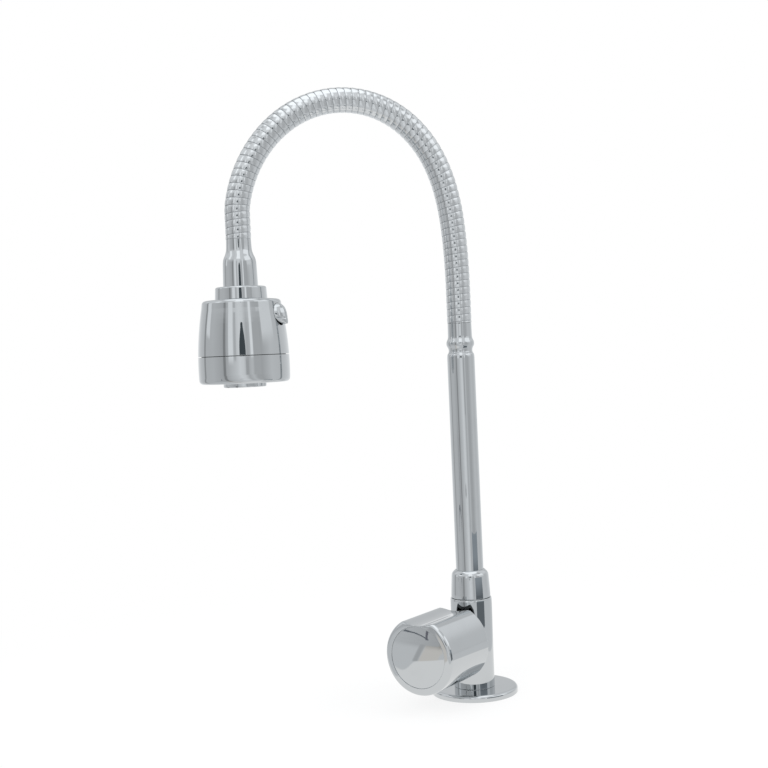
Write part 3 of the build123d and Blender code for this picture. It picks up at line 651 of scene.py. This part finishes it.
class TAP_OT_knob(TapOperator, bpy.types.Operator):
    """Turn the knob's shell, press its flute in, and set the domed cap in its face"""

    bl_idname = "tap.knob"
    bl_label = "Knob"

    # Radius of the shell's inner wall, then its back, web and front along the valve's axis
    wall, back, web, front = 19.3, 18.6, 50, 59.2

    def execute(self, context):
        piece(self.shell(), "fluted_knob", "knob chrome", "handle", ["knob_shell"])
        piece(self.cap(), "domed_cap", "knob chrome", "handle", ["knob_cap"])
        return {"FINISHED"}

    def shell(self):
        """The cup with its hub, open at the back, its inner side and back face marked for painted shade."""
        radius = self.sizes.knob_radius
        rows = [(radius, self.back + 38.4 * row / 10) for row in range(1, 10)]
        shell = turned([(radius, self.back, 0.5), *rows, (radius, self.front, 2.3),
                        (17.05, self.front, 0.15), (17.05, 53), (2.4, 53), (2.4, self.web), (8.05, self.web),
                        (8.05, 38), (10, 38), (10, self.web), (self.wall, self.web), (self.wall, 40),
                        (self.wall, 30), (self.wall, self.back)], 360, start=pi / 2)
        # Painted shade: the inner side and the back face turn dark, as shade in the hollow
        inside = shell.verts.layers.float.new("inside")
        for vert in shell.verts:
            out = vert.co.xy.length
            behind = vert.co.z < self.web + 0.5
            if behind:
                edge = radius - 0.4 if vert.co.z < self.back + 0.6 else self.wall + 0.3
                vert[inside] = max(0.0, min(1.0, (edge - out) / 0.2))
            self.press(vert, out, behind and out < self.wall + 0.2)
        shell.transform(KNOB_PLACE)
        return shell

    def press(self, vert, out, inner):
        """Presses the flute into the shell's outer wall, and keeps the inner wall its thickness away."""
        size = self.sizes
        centre = size.flute_floor + size.flute_radius
        reach = size.flute_radius + (2 if inner else 0)
        slope = atan2(vert.co.x, vert.co.y)
        chord = reach ** 2 - (centre * sin(slope)) ** 2
        if vert.co.y > 0 and out > 12 and chord > 0:
            along = centre * cos(slope) - sqrt(chord)
            soft = max(0.01, min(2.6, 2 * (out - 17.3)))
            share = max(soft - abs(out - along), 0) / soft
            along = min(out, along) - share ** 2 * soft / 4
            vert.co.x, vert.co.y = along * sin(slope), along * cos(slope)

    @staticmethod
    def cap():
        """A shallow dome with a rounded edge, set in the knob's face."""
        edge, dome, rim = 16.6, 1.3, 59.0
        ball = (edge ** 2 + dome ** 2) / (2 * dome)
        rounds = [edge * step / 8 for step in range(9)]
        outline = [(out, rim + dome - ball + sqrt(ball ** 2 - out ** 2)) for out in rounds]
        outline += [(16.8, 58.98), (16.95, 58.93), (17.03, 58.83), (17.03, 53.1), (15.4, 53.1), (15.4, 57.2),
                    (0, 58.7)]
        return turned(outline, 192, closed=False, place=KNOB_PLACE)


def belly(height):
    """Outer radius of the head at a height."""
    rise, depth = SHOULDER_HEIGHT - BELLY_HEIGHT, BELLY_RADIUS - SHOULDER_RADIUS
    arc = (rise ** 2 + depth ** 2) / (2 * depth)
    return BELLY_RADIUS - arc + sqrt(arc ** 2 - (height - BELLY_HEIGHT) ** 2)


def on_oval(across, height, half, above, below):
    """A point of the head's side, moved to the oval's edge, and how far out it lay: 1 at the edge."""
    rise = height - OVAL_MIDDLE
    reach = above if rise > 0 else below
    share = hypot(across / half, rise / reach)
    return across / share, OVAL_MIDDLE + rise / share, share


class TAP_OT_head(TapOperator, bpy.types.Operator):
    """Turn the neck, the swivel collar, the two shells and the outlet ring of the head"""

    bl_idname = "tap.head"
    bl_label = "Head"

    # The upper shell's foot and the lower shell's top, a seam apart, and the wall behind them
    upper_foot, lower_top = 201.7, 201.35
    wall = 1.8
    # The room that the upper shell's window leaves the jet switch: aside, above and below
    room = (0.3, 0.08, 1.1)

    def execute(self, context):
        plate, slot = "head chrome", "head_chrome"
        piece(self.neck(), "bell_neck", plate, "spout_end", ["head_neck"], crease=24)
        piece(self.collar(), "neck_collar", plate, "head", ["head_collar"])
        piece(self.upper(), "upper_bell", plate, "head", ["upper_shell"])
        piece(self.lower(), "lower_bell", plate, "head", ["lower_shell"])
        piece(self.ring(), "outlet_ring", plate, "head", ["aerator_housing"])
        piece(self.nozzles(), "nozzle_plate", "grey plastic", "head", ["spray_plate"])
        return {"FINISHED"}

    @staticmethod
    def neck():
        """The neck that grips the hose's end and opens out like a bell."""
        return turned([(4.7, HOSE_END), (6.9, HOSE_END, 0.15), (7.0, 264), (7.1, 261.4), (7.2, 260.2),
                       (7.4, 259.2), (7.75, 258.1), (8.2, 257.0), (8.68, 256.0), (9.05, 254.8), (9.3, 253.2),
                       (9.42, 251.2), (9.55, 247), (9.7, 242), (9.7, 236.9), (11.6, 236.9), (11.6, 233.4),
                       (3.6, 233.4), (3.6, 248), (4.15, 248), (4.15, 256), (4.7, 257)], place=HEAD_PLACE)

    @staticmethod
    def collar():
        """The collar that holds the head on its neck and lets it swivel."""
        return turned([(12.95, 232.75), (14.6, 232.75, 0.2), (14.2, 239.8, 1.0), (9.78, 239.8, 0.15),
                       (9.78, 237.2), (12.95, 237.2)], place=HEAD_PLACE)

    def upper(self):
        """The upper shell, with the jet switch's oval window through its side."""
        rows = [(belly(z), z) for z in (227.5, 225, 222, 219.5, 214, 210, 206)]
        inner = [(belly(z) - self.wall, z) for z in (207.2, 209, 213, 219.5, 223)]
        shell = turned([(3.8, 232.5), (11.75, 232.5), (11.75, 236.9), (12.9, 236.9), (12.9, 232.5),
                        (19.6, 232.5), (20.5, 232.4), (21.2, 232.1), (21.75, 231.5), (22.05, 230.8),
                        (22.15, 230.0), *rows, (belly(self.upper_foot), self.upper_foot, 0.04),
                        (23.45, self.upper_foot), (23.45, 207.2), *inner, (20.3, 229.2), (19, 230.5),
                        (3.8, 230.5)], 288, start=LEVER_ANGLE)
        # Level cuts across the lever's side, so that the window's edge has faces to follow
        for step in range(25):
            bmesh.ops.bisect_plane(shell, geom=shell.verts[:] + shell.edges[:] + shell.faces[:], dist=1e-5,
                                   plane_co=(0, 0, 216.6 + 0.6 * step), plane_no=(0, 0, 1))
        self.pierce(shell)
        shell.transform(HEAD_PLACE)
        return shell

    def pierce(self, shell):
        """Opens the window: takes out the faces in its oval, moves the rims to its edge and joins them."""
        aside, above, below = self.room
        reach = self.sizes.lever_width / 2 + aside, OVAL_ABOVE + above, OVAL_BELOW + below

        def turn(point):
            return (atan2(point.y, point.x) - LEVER_ANGLE + pi) % (2 * pi) - pi

        def oval(point):
            return on_oval(belly(point.z) * sin(turn(point)), point.z, *reach)

        window = []
        for face in shell.faces:
            middle = face.calc_center_median()
            if abs(turn(middle)) < 0.5 and 216 < middle.z < 231 and middle.xy.length > 19.4:
                if oval(middle)[2] < 1:
                    window.append(face)
        bmesh.ops.delete(shell, geom=window, context="FACES")
        rim = [edge for edge in shell.edges if len(edge.link_faces) == 1]
        for vert in {vert for edge in rim for vert in edge.verts}:
            across, height, _ = oval(vert.co)
            out = vert.co.xy.length + belly(height) - belly(vert.co.z)
            angle = LEVER_ANGLE + asin(across / belly(height))
            vert.co = (out * cos(angle), out * sin(angle), height)
        bmesh.ops.bridge_loops(shell, edges=rim)

    def lower(self):
        """The lower shell, with painted shade on the spigot that shows in the seam."""
        top = self.lower_top
        rows = [(belly(z), z) for z in (199, 196.5, 194, 191.5, 189.3)]
        shell = turned([(23.4, top), (belly(top), top, 0.04), *rows, (belly(186.4) - 0.15, 186.3, 2.0),
                        (22.3, 186.3, 0.2), (22.3, 187.8), (23.5, 187.8), (23.5, 200), (20.6, 200),
                        (20.6, top), (21.7, top), (21.7, 207), (23.4, 207)], 192)
        # Painted shade: the spigot's face in the seam's gap is marked to turn dark
        inside = shell.verts.layers.float.new("inside")
        for vert in shell.verts:
            vert[inside] = float(vert.co.z > 201 and vert.co.xy.length < 23.45)
        shell.transform(HEAD_PLACE)
        return shell

    @staticmethod
    def ring():
        """The outlet's ring, with twelve grip notches in its edge."""
        edge, notch = 11.9, 0.45
        ring = turned([(9.6, 184, 0.2), (11.85, 184, 0.6), (edge, 187.3), (11.4, 187.6), (11.4, 196),
                       (10.2, 196), (10.2, 186.2), (9.6, 185.6)], place=HEAD_PLACE)
        for vert in ring.verts:
            across = vert.co.x - HEAD_X
            turn = degrees(atan2(vert.co.y, across)) % 30
            if vert.co.z < 187.4 and hypot(across, vert.co.y) > 11 and turn < 4:
                vert.co.x -= notch * across / edge
                vert.co.y -= notch * vert.co.y / edge
        return ring

    @staticmethod
    def nozzles():
        """The spray plate, with a soft nozzle pushed through each of its holes."""
        parts = [turned([(13.45, 188.3), (23.4, 188.3), (23.4, 189.9), (13.45, 189.9)], 96)]
        for ring, count in ((15.4, 18), (17.9, 24), (20.4, 30)):
            for number in range(count):
                turn = Matrix.Rotation(2 * pi * number / count, 4, "Z")
                parts.append(turned([(0.45, 187.1), (0.8, 187.1), (1.1, 188.3), (0.45, 188.3)], 10,
                                    place=turn @ Matrix.Translation((ring, 0, 0))))
        plate = joined(*parts)
        plate.transform(HEAD_PLACE)
        return plate


class TAP_OT_lever(TapOperator, bpy.types.Operator):
    """Shape the jet switch: an oval thumb piece with a lip, its hub and the fork that lifts the plunger"""

    bl_idname = "tap.lever"
    bl_label = "Jet switch"

    # Middle line of the thumb piece, as (height, distance from the head's axis)
    middle = ((218.4, 23.8), (218.45, 26.4), (218.52, 27.1), (218.65, 27.55), (218.9, 27.85), (219.3, 28.0),
              (220, 27.97), (222, 27.7), (224, 27.3), (225, 27.05), (226, 26.75), (227, 26.3), (227.8, 25.8),
              (228.5, 25.1), (229.1, 24.2), (229.5, 23.4), (229.8, 22.2))
    # The thumb piece's back, and how much of its width is left there
    back, left = 21.2, 0.88
    # The pinch across the thumb piece: its height, its reach up and down, and its depth
    waist, reach, pinch = 221.7, 0.5, 0.2
    # How far the lip leans down for each millimetre that it stands out
    lean = 0.17

    def execute(self, context):
        hub = turned([(0.92, -3), (2.3, -3, 0.2), (2.3, 3, 0.2), (0.92, 3)], 32,
                     place=Matrix.Translation((19.5, 0, 224)) @ Matrix.Rotation(pi / 2, 4, "X"))
        stem = self.bar(20.9, 21.6, 3.0, 222.2, 225.8)
        arm = self.bar(10.6, 17.7, 3.0, 223.2, 224.8)
        fork = (self.bar(6.75, 10.7, 0.42, 223.25, 224.75, shift) for shift in (-2.55, 2.55))
        lever = joined(self.thumb(), hub, stem, arm, *fork)
        lever.transform(HEAD_PLACE @ Matrix.Rotation(LEVER_ANGLE, 4, "Z"))
        piece(lever, "thumb_lever", "head chrome", "lever", ["switch_lever"], crease=60)
        return {"FINISHED"}

    def thumb(self):
        """The oval dome: a square grid and its copy behind it, drawn round into discs and swelled."""
        half = self.sizes.lever_width / 2
        thumb = bmesh.new()
        bmesh.ops.create_grid(thumb, x_segments=36, y_segments=72, size=1)
        grown = bmesh.ops.extrude_face_region(thumb, geom=thumb.faces[:], use_keep_orig=True)
        front = {part for part in grown["geom"] if isinstance(part, bmesh.types.BMVert)}
        for vert in thumb.verts:
            u, v = sin(vert.co.x * pi / 2), sin(vert.co.y * pi / 2)
            across, rise = u * sqrt(1 - v * v / 2), v * sqrt(1 - u * u / 2)
            height = OVAL_MIDDLE + rise * (OVAL_ABOVE if rise > 0 else OVAL_BELOW)
            if vert in front:
                vert.co = self.swelled(half, across, rise, height)
            else:
                vert.co = (self.back, self.left * half * across, height)
        return thumb

    def swelled(self, half, across, rise, height):
        """A point of the dome's front, from where it lies in the oval: its reach across and its rise."""
        # Flush with the shell at the top, and sunk a little lower down
        shell = belly(height) - 0.03 - 0.17 * min(1.0, max(0.0, (0.9 - rise) / 0.5))
        share = min(1.0, abs(across) / max(1e-3, sqrt(max(0.0, 1 - rise * rise))))
        out = max(0.0, self.line(height) - shell) * (1 - share ** 2) ** 0.72
        waist = max(0.0, 1 - ((height - self.waist) / self.reach) ** 2) * min(1.0, out / 1.2)
        side = half * across * (1 - self.pinch * waist)
        down = self.lean * out * sqrt(max(0.0, -rise))
        return sqrt(shell ** 2 - (half * across) ** 2) + out, side, height - down

    def line(self, height):
        """Where the thumb piece's middle line stands at a height."""
        for (low, near), (high, far) in zip(self.middle, self.middle[1:]):
            if height <= high:
                return near + (far - near) * (height - low) / (high - low)
        return self.middle[-1][1]

    @staticmethod
    def bar(near, far, half, low, high, shift=0.0):
        """A square bar between two distances from the head's axis, its edges just broken."""
        bm = bmesh.new()
        bmesh.ops.create_cube(bm, size=1)
        bmesh.ops.scale(bm, vec=(far - near, 2 * half, high - low), verts=bm.verts[:])
        bmesh.ops.translate(bm, vec=((near + far) / 2, shift, (low + high) / 2), verts=bm.verts[:])
        bmesh.ops.bevel(bm, geom=bm.edges[:], offset=0.12, offset_type="OFFSET", segments=1, profile=0.5,
                        affect="EDGES", material=-1, clamp_overlap=True)
        return bm


class TAP_OT_fixing(TapOperator, bpy.types.Operator):
    """Cut the shank's thread and shape the lock nut and washers below the deck"""

    bl_idname = "tap.fixing"
    bl_label = "Fixing below the deck"

    def execute(self, context):
        piece(self.shank(), "threaded_shank", "brass", "deck_fitting", ["inlet_shank"])
        rubber = turned([(10.58, -16.5), (18, -16.5, 0.5), (18, -14, 0.5), (10.58, -14)], 96)
        piece(rubber, "soft_washer", "black rubber", "deck_fitting", ["deck_washer"])
        steel = turned([(10.58, -17.7), (17, -17.7, 0.2), (17, -16.5, 0.2), (10.58, -16.5)], 96)
        piece(steel, "flat_washer", "steel", "deck_fitting", ["clamp_washer"])
        piece(self.nut(), "hexagon_nut", "brass", "deck_fitting", ["lock_nut"], crease=20)
        return {"FINISHED"}

    @staticmethod
    def shank():
        """The half-inch thread below the deck, and the plain spigot above it that holds the body."""
        pitch, crest, root, bore = 1.814, 10.48, 9.5, 6.0
        section = ((root, 0), (root, 0.12 * pitch), (crest, 0.45 * pitch), (crest, 0.55 * pitch),
                   (root, 0.88 * pitch), (root, pitch))
        thread = wound(section, pitch, -50, -1.0, bore, 48)
        return joined(thread, turned([(bore, -1.2), (10.4, -1.2), (10.4, 3.7), (9, 3.7), (9, 15, 0.5),
                                      (bore, 15)], 96))

    @staticmethod
    def nut():
        """A hexagon nut turned down at its corners, from a round blank cut by six flats."""
        flat = 14.0
        corner = flat / cos(pi / 6)
        nut = turned([(10.55, -25.1), (11.2, -25.7), (flat - 0.5, -25.7), (corner, -24.6), (corner, -18.8),
                      (flat - 0.5, -17.7), (11.2, -17.7), (10.55, -18.3)], 144)
        for vert in nut.verts:
            turn = (atan2(vert.co.y, vert.co.x) + pi / 6) % (pi / 3) - pi / 6
            limit = flat / cos(turn)
            out = vert.co.xy.length
            if out > limit:
                vert.co.xy *= limit / out
        return nut


class TAP_OT_stage(TapOperator, bpy.types.Operator):
    """Lay the floor, light the room and set the camera"""

    bl_idname = "tap.stage"
    bl_label = "Stage"

    # The wall's brightness round the tap, as (azimuth, brightness)
    walls = ((-180, 0.7), (-160, 0.62), (-147, 0.54), (-130, 0.72), (-115, 0.85), (-106, 0.98), (-97, 0.92),
             (-87, 0.62), (-76, 0.76), (-66, 0.58), (-52, 0.57), (-24, 0.78), (5, 0.74), (42, 0.88),
             (60, 0.92), (105, 0.92), (128, 0.78), (152, 0.68))
    # Posts that reach from the table to the ceiling, as (azimuth, half width, brightness)
    posts = ((149, 3, 0.42), (-146, 3, 0.34))
    # What hangs on the walls: azimuth, half width, lowest and highest elevation, brightness, softness
    hangings = (
        (161, 7, 9, 20, 1.0, 2), (-129, 6, 4, 26, 1.06, 4), (-118, 2.5, 3, 20, 0.66, 1.5),
        (-88, 3.5, -8, 2, 0.55, 2), (-75.5, 3, 4, 26, 1.12, 1.5), (-62, 9, -8, 14, 0.6, 4),
        (-28, 18, 13, 24, 0.95, 7), (-176, 9, 26, 46, 1.3, 3), (-32, 24, 24, 42, 1.3, 5),
        (-104, 15, 34, 62, 1.4, 5), (-20, 12, 46, 60, 0.6, 4), (178, 24, 52, 62, 0.68, 4),
        (80, 42, 9, 60, 0.74, 5))
    # Soft lamps, as (name, place in metres, share of the lamp's power), and their size
    soft_lamps = (("lamp_left", (-0.9, -0.9, 1.0), 1.0), ("lamp_right", (1.0, -0.7, 0.9), 0.7))
    lamp_size = 0.7
    lamp_aim = Vector((-0.05, 0, 0.18))
    # The camera: its place in metres, the level way it looks, its pitch down and its roll
    stand = Vector((-0.1991, -0.6891, 0.1999))
    ahead = Vector((0.2164, 0.976, 0))
    pitch, roll = radians(1.467), radians(2.511)
    # Its focal length as a share of the picture's width, and the sensor's width
    focal_share, sensor = 1.606, 36

    def execute(self, context):
        stage = context.scene.tap_stage
        self.floor(stage)
        self.room(stage)
        self.lamps(stage)
        self.camera(context)
        context.scene.view_settings.view_transform = "Standard"
        return {"FINISHED"}

    def around(self, finish, east, north):
        """The wall and its posts, by the level direction that the two parts give."""
        share = north.math("ARCTAN2", east) / (2 * pi) + 0.5
        marks = [((azimuth + 180) / 360, (value / 2,) * 3) for azimuth, value in self.walls]
        marks.append((1.0, marks[0][1]))
        light = finish.node("ShaderNodeValToRGB", {"stops": marks}, {"Fac": share}) * 2
        for azimuth, half, value in self.posts:
            light = light.toward(self.facing(east, north, azimuth, half), value)
        return light

    @staticmethod
    def split(finish, vector):
        """A vector's three parts."""
        parts = finish.node("ShaderNodeSeparateXYZ", None, {"Vector": vector}).socket.node.outputs
        return [Link(finish, part) for part in parts]

    @staticmethod
    def facing(east, north, azimuth, half, soft=1.5):
        """1 where the level direction lies within half of an azimuth, easing to 0 over soft degrees."""
        way = east * cos(radians(azimuth)) + north * sin(radians(azimuth))
        level = (east * east + north * north).math("SQRT")
        return (way / level).between(cos(radians(half + soft)), cos(radians(max(0.0, half - soft))))

    @staticmethod
    def tinted(finish, light, warm=0.0):
        """A light's colour: a little cool, or warm."""
        red, blue = light * (0.985 + 0.06 * warm), light * (1.015 - 0.07 * warm)
        return finish.node("ShaderNodeCombineColor", None, {0: red, 1: light, 2: blue})

    @staticmethod
    def glowing(finish, colour, kind="Emission"):
        """A shader that shines at a strength of 1 in a colour."""
        return finish.node(f"ShaderNode{kind}", None, {"Color": colour, "Strength": 1.0})

    def floor(self, stage):
        """White to the camera but for a soft shadow; a white sheet on a grey table to the metal."""
        finish = started("floor")
        where = finish.place()
        east, north, _ = self.split(finish, where)
        reach = finish.node("ShaderNodeVectorMath", {"operation": "LENGTH"}, {0: where}, output="Value")
        mirror = self.glowing(finish, self.table(finish, where, east, north, reach))
        clouds = finish.noise(3, 2, 0.5)
        tone = finish.blend(clouds, tuple(stage.floor), tuple(0.985 * part for part in stage.floor))
        matt = finish.node("ShaderNodeBsdfDiffuse", None, {"Color": tone})
        ray = finish.node("ShaderNodeLightPath").socket.node
        camera, glossy = (Link(finish, ray.outputs[name]) for name in ("Is Camera Ray", "Is Glossy Ray"))
        white = camera * (0.8 + 0.2 * reach.between(0.1, 0.4))
        plain = self.glowing(finish, (1, 1, 1, 1))
        lit = finish.node("ShaderNodeMixShader", None, {0: white, 1: matt, 2: plain})
        both = finish.node("ShaderNodeMixShader", None, {0: glossy, 1: lit, 2: mirror})
        finish.node("ShaderNodeOutputMaterial", None, {"Surface": both})
        level = -0.05
        plane = turned([(10.9, level), (60, level), (300, level), (3000, level)], 96, closed=False)
        bmesh.ops.recalc_face_normals(plane, faces=plane.faces[:])
        if sum(face.normal.z for face in plane.faces) < 0:
            bmesh.ops.reverse_faces(plane, faces=plane.faces[:])
        piece(plane, "floor", "floor", outward=False)

    def table(self, finish, where, east, north, reach):
        """The table as the metal shows it, by place in metres and by distance from the tap."""
        table = self.around(finish, east, north) * (0.94 + 0.12 * finish.noise(9, 3, 0.5, where))
        # Lighter close by, then the table's edge in front and a dark strip to the left
        table = table.toward(1 - reach.between(0.28, 0.42), 0.78)
        table = table.toward(reach.within(1.0, 1.06, 0.08) * self.facing(east, north, -110, 3, 3), 0.5)
        table = table.toward(reach.within(0.17, 0.42, 0.01) * self.facing(east, north, -160.5, 1.5, 1), 0.56)
        # The sheet under the tap, with a notch in its left edge, and a warm patch beside it
        notch = (north + 0.029).math("ABSOLUTE").between(0, 0.03)
        left = (east + 0.118 + notch * 0.037).between(-0.004, 0.004)
        sheet = left * (1 - east.between(0.102, 0.108)) * north.within(-0.13, 0.15, 0.03)
        warm = reach.within(0.16, 0.4, 0.01) * self.facing(east, north, -152, 6, 1)
        return self.tinted(finish, table.toward(sheet, 0.98), warm.toward(sheet, 0.3))

    def room(self, stage):
        """Walls with windows and soft lights for the metal, plain white for the camera."""
        world = bpy.data.worlds.new("room")
        bpy.context.scene.world = world
        finish = Finish(world)
        way = finish.node("ShaderNodeTexCoord", output="Generated")
        east, north, height = self.split(finish, way)
        rise = height.math("ARCSINE") * (180 / pi)
        light = self.around(finish, east, north)
        light = light.toward(rise.between(13, 32) * 0.75, 1.0)
        for azimuth, half, low, high, value, soft in self.hangings:
            hanging = self.facing(east, north, azimuth, half) * rise.within(low, high, soft)
            light = light.toward(hanging, value)
        light = light.toward(rise.between(60, 68), 1.5) * stage.room
        seen = finish.node("ShaderNodeLightPath", output="Is Camera Ray")
        glow = self.glowing(finish, self.tinted(finish, light), "Background")
        plain = self.glowing(finish, (1, 1, 1, 1), "Background")
        both = finish.node("ShaderNodeMixShader", None, {0: seen, 1: glow, 2: plain})
        finish.node("ShaderNodeOutputWorld", None, {"Surface": both})

    def card(self, name, middle, width, height, colour, taper=0, fade=1.0, drop=0.0):
        """A standing card that only reflections show, facing the tap.

        A taper points its top, fade is how much brighter its top is, and its ends hang lower by drop.
        """
        finish = started(name)
        glow = 1 + (fade - 1) * self.split(finish, finish.place())[2].between(0.035, 0.055)
        light = finish.node("ShaderNodeEmission", None, {"Color": (*colour, 1), "Strength": glow})
        finish.node("ShaderNodeOutputMaterial", None, {"Surface": light})
        bm = bmesh.new()
        bmesh.ops.create_grid(bm, x_segments=12, y_segments=12, size=0.5)
        for vert in bm.verts:
            share = 1 - (vert.co.y + 0.5) ** taper * 0.97 if taper else 1
            vert.co = (vert.co.x * width * share, 0, vert.co.y * height - drop * (2 * vert.co.x) ** 2)
        bm.transform(Matrix.Rotation(atan2(middle[1], middle[0]) + pi / 2, 4, "Z"))
        bmesh.ops.translate(bm, vec=middle, verts=bm.verts[:])
        shown = piece(bm, name, name, outward=False)
        shown.visible_camera = shown.visible_diffuse = shown.visible_shadow = False

    def lamps(self, stage):
        self.card("dark_stand", (-285, -1037, 411), 290, 278, (0.08, 0.095, 0.105), 2.2)
        self.card("dark_post", (-707, -262, 57), 20, 116, (0.2, 0.2, 0.23), 8)
        self.card("dark_case", (96, -134, 35), 137, 69, (0.17, 0.187, 0.203), fade=2.1)
        self.card("dark_arch", (-530, -95, 41), 235, 6, (0.15, 0.165, 0.19), drop=27)
        for name, place, power in self.soft_lamps:
            lamp = bpy.data.lights.new(name, "AREA")
            lamp.shape = "SQUARE"
            lamp.size = self.lamp_size
            lamp.energy = stage.lamp * power
            holder = bpy.data.objects.new(name, lamp)
            bpy.context.scene.collection.objects.link(holder)
            holder.location = place
            aim = self.lamp_aim - Vector(place)
            holder.rotation_euler = aim.to_track_quat("-Z", "Y").to_euler()
            holder.visible_glossy = False

    def camera(self, context):
        ahead = self.ahead.normalized()
        right = Vector((ahead.y, -ahead.x, 0))
        look = ahead * cos(self.pitch) - UP * sin(self.pitch)
        top = right.cross(look)
        across = right * cos(self.roll) - top * sin(self.roll)
        above = top * cos(self.roll) + right * sin(self.roll)
        lens = bpy.data.cameras.new("camera")
        lens.sensor_width = self.sensor
        lens.lens = self.focal_share * self.sensor
        lens.clip_start = 0.01
        holder = bpy.data.objects.new("camera", lens)
        context.scene.collection.objects.link(holder)
        turn = Matrix((across, above, -look)).transposed().to_4x4()
        holder.matrix_world = Matrix.Translation(self.stand) @ turn
        context.scene.camera = holder


class TAP_PT_panel(bpy.types.Panel):
    """Lists the tap's sizes, finishes and operators"""

    bl_label = "Kitchen tap"
    bl_idname = "TAP_PT_panel"
    bl_space_type = "VIEW_3D"
    bl_region_type = "UI"
    bl_category = "Tap"

    def draw(self, context):
        for group in (context.scene.tap_sizes, context.scene.tap_finishes, context.scene.tap_stage):
            box = self.layout.box()
            for name in group.bl_rna.properties.keys():
                if name not in ("rna_type", "name"):
                    box.prop(group, name)
        for operator in OPERATORS:
            self.layout.operator(operator.bl_idname)


GROUPS = {"tap_finishes": TapFinishes, "tap_sizes": TapSizes, "tap_stage": TapStage}
OPERATORS = (TAP_OT_finishes, TAP_OT_hose, TAP_OT_water_tube, TAP_OT_body, TAP_OT_riser, TAP_OT_knob,
             TAP_OT_head, TAP_OT_lever, TAP_OT_fixing, TAP_OT_stage)


def register():
    for kind in (*GROUPS.values(), *OPERATORS, TAP_PT_panel):
        bpy.utils.register_class(kind)
    for name, kind in GROUPS.items():
        setattr(bpy.types.Scene, name, bpy.props.PointerProperty(type=kind))


def unregister():
    for name in GROUPS:
        delattr(bpy.types.Scene, name)
    for kind in reversed((*GROUPS.values(), *OPERATORS, TAP_PT_panel)):
        bpy.utils.unregister_class(kind)


def main():
    register()
    for operator in OPERATORS:
        group, name = operator.bl_idname.split(".")
        getattr(getattr(bpy.ops, group), name)()


if __name__ == "__main__":
    main()
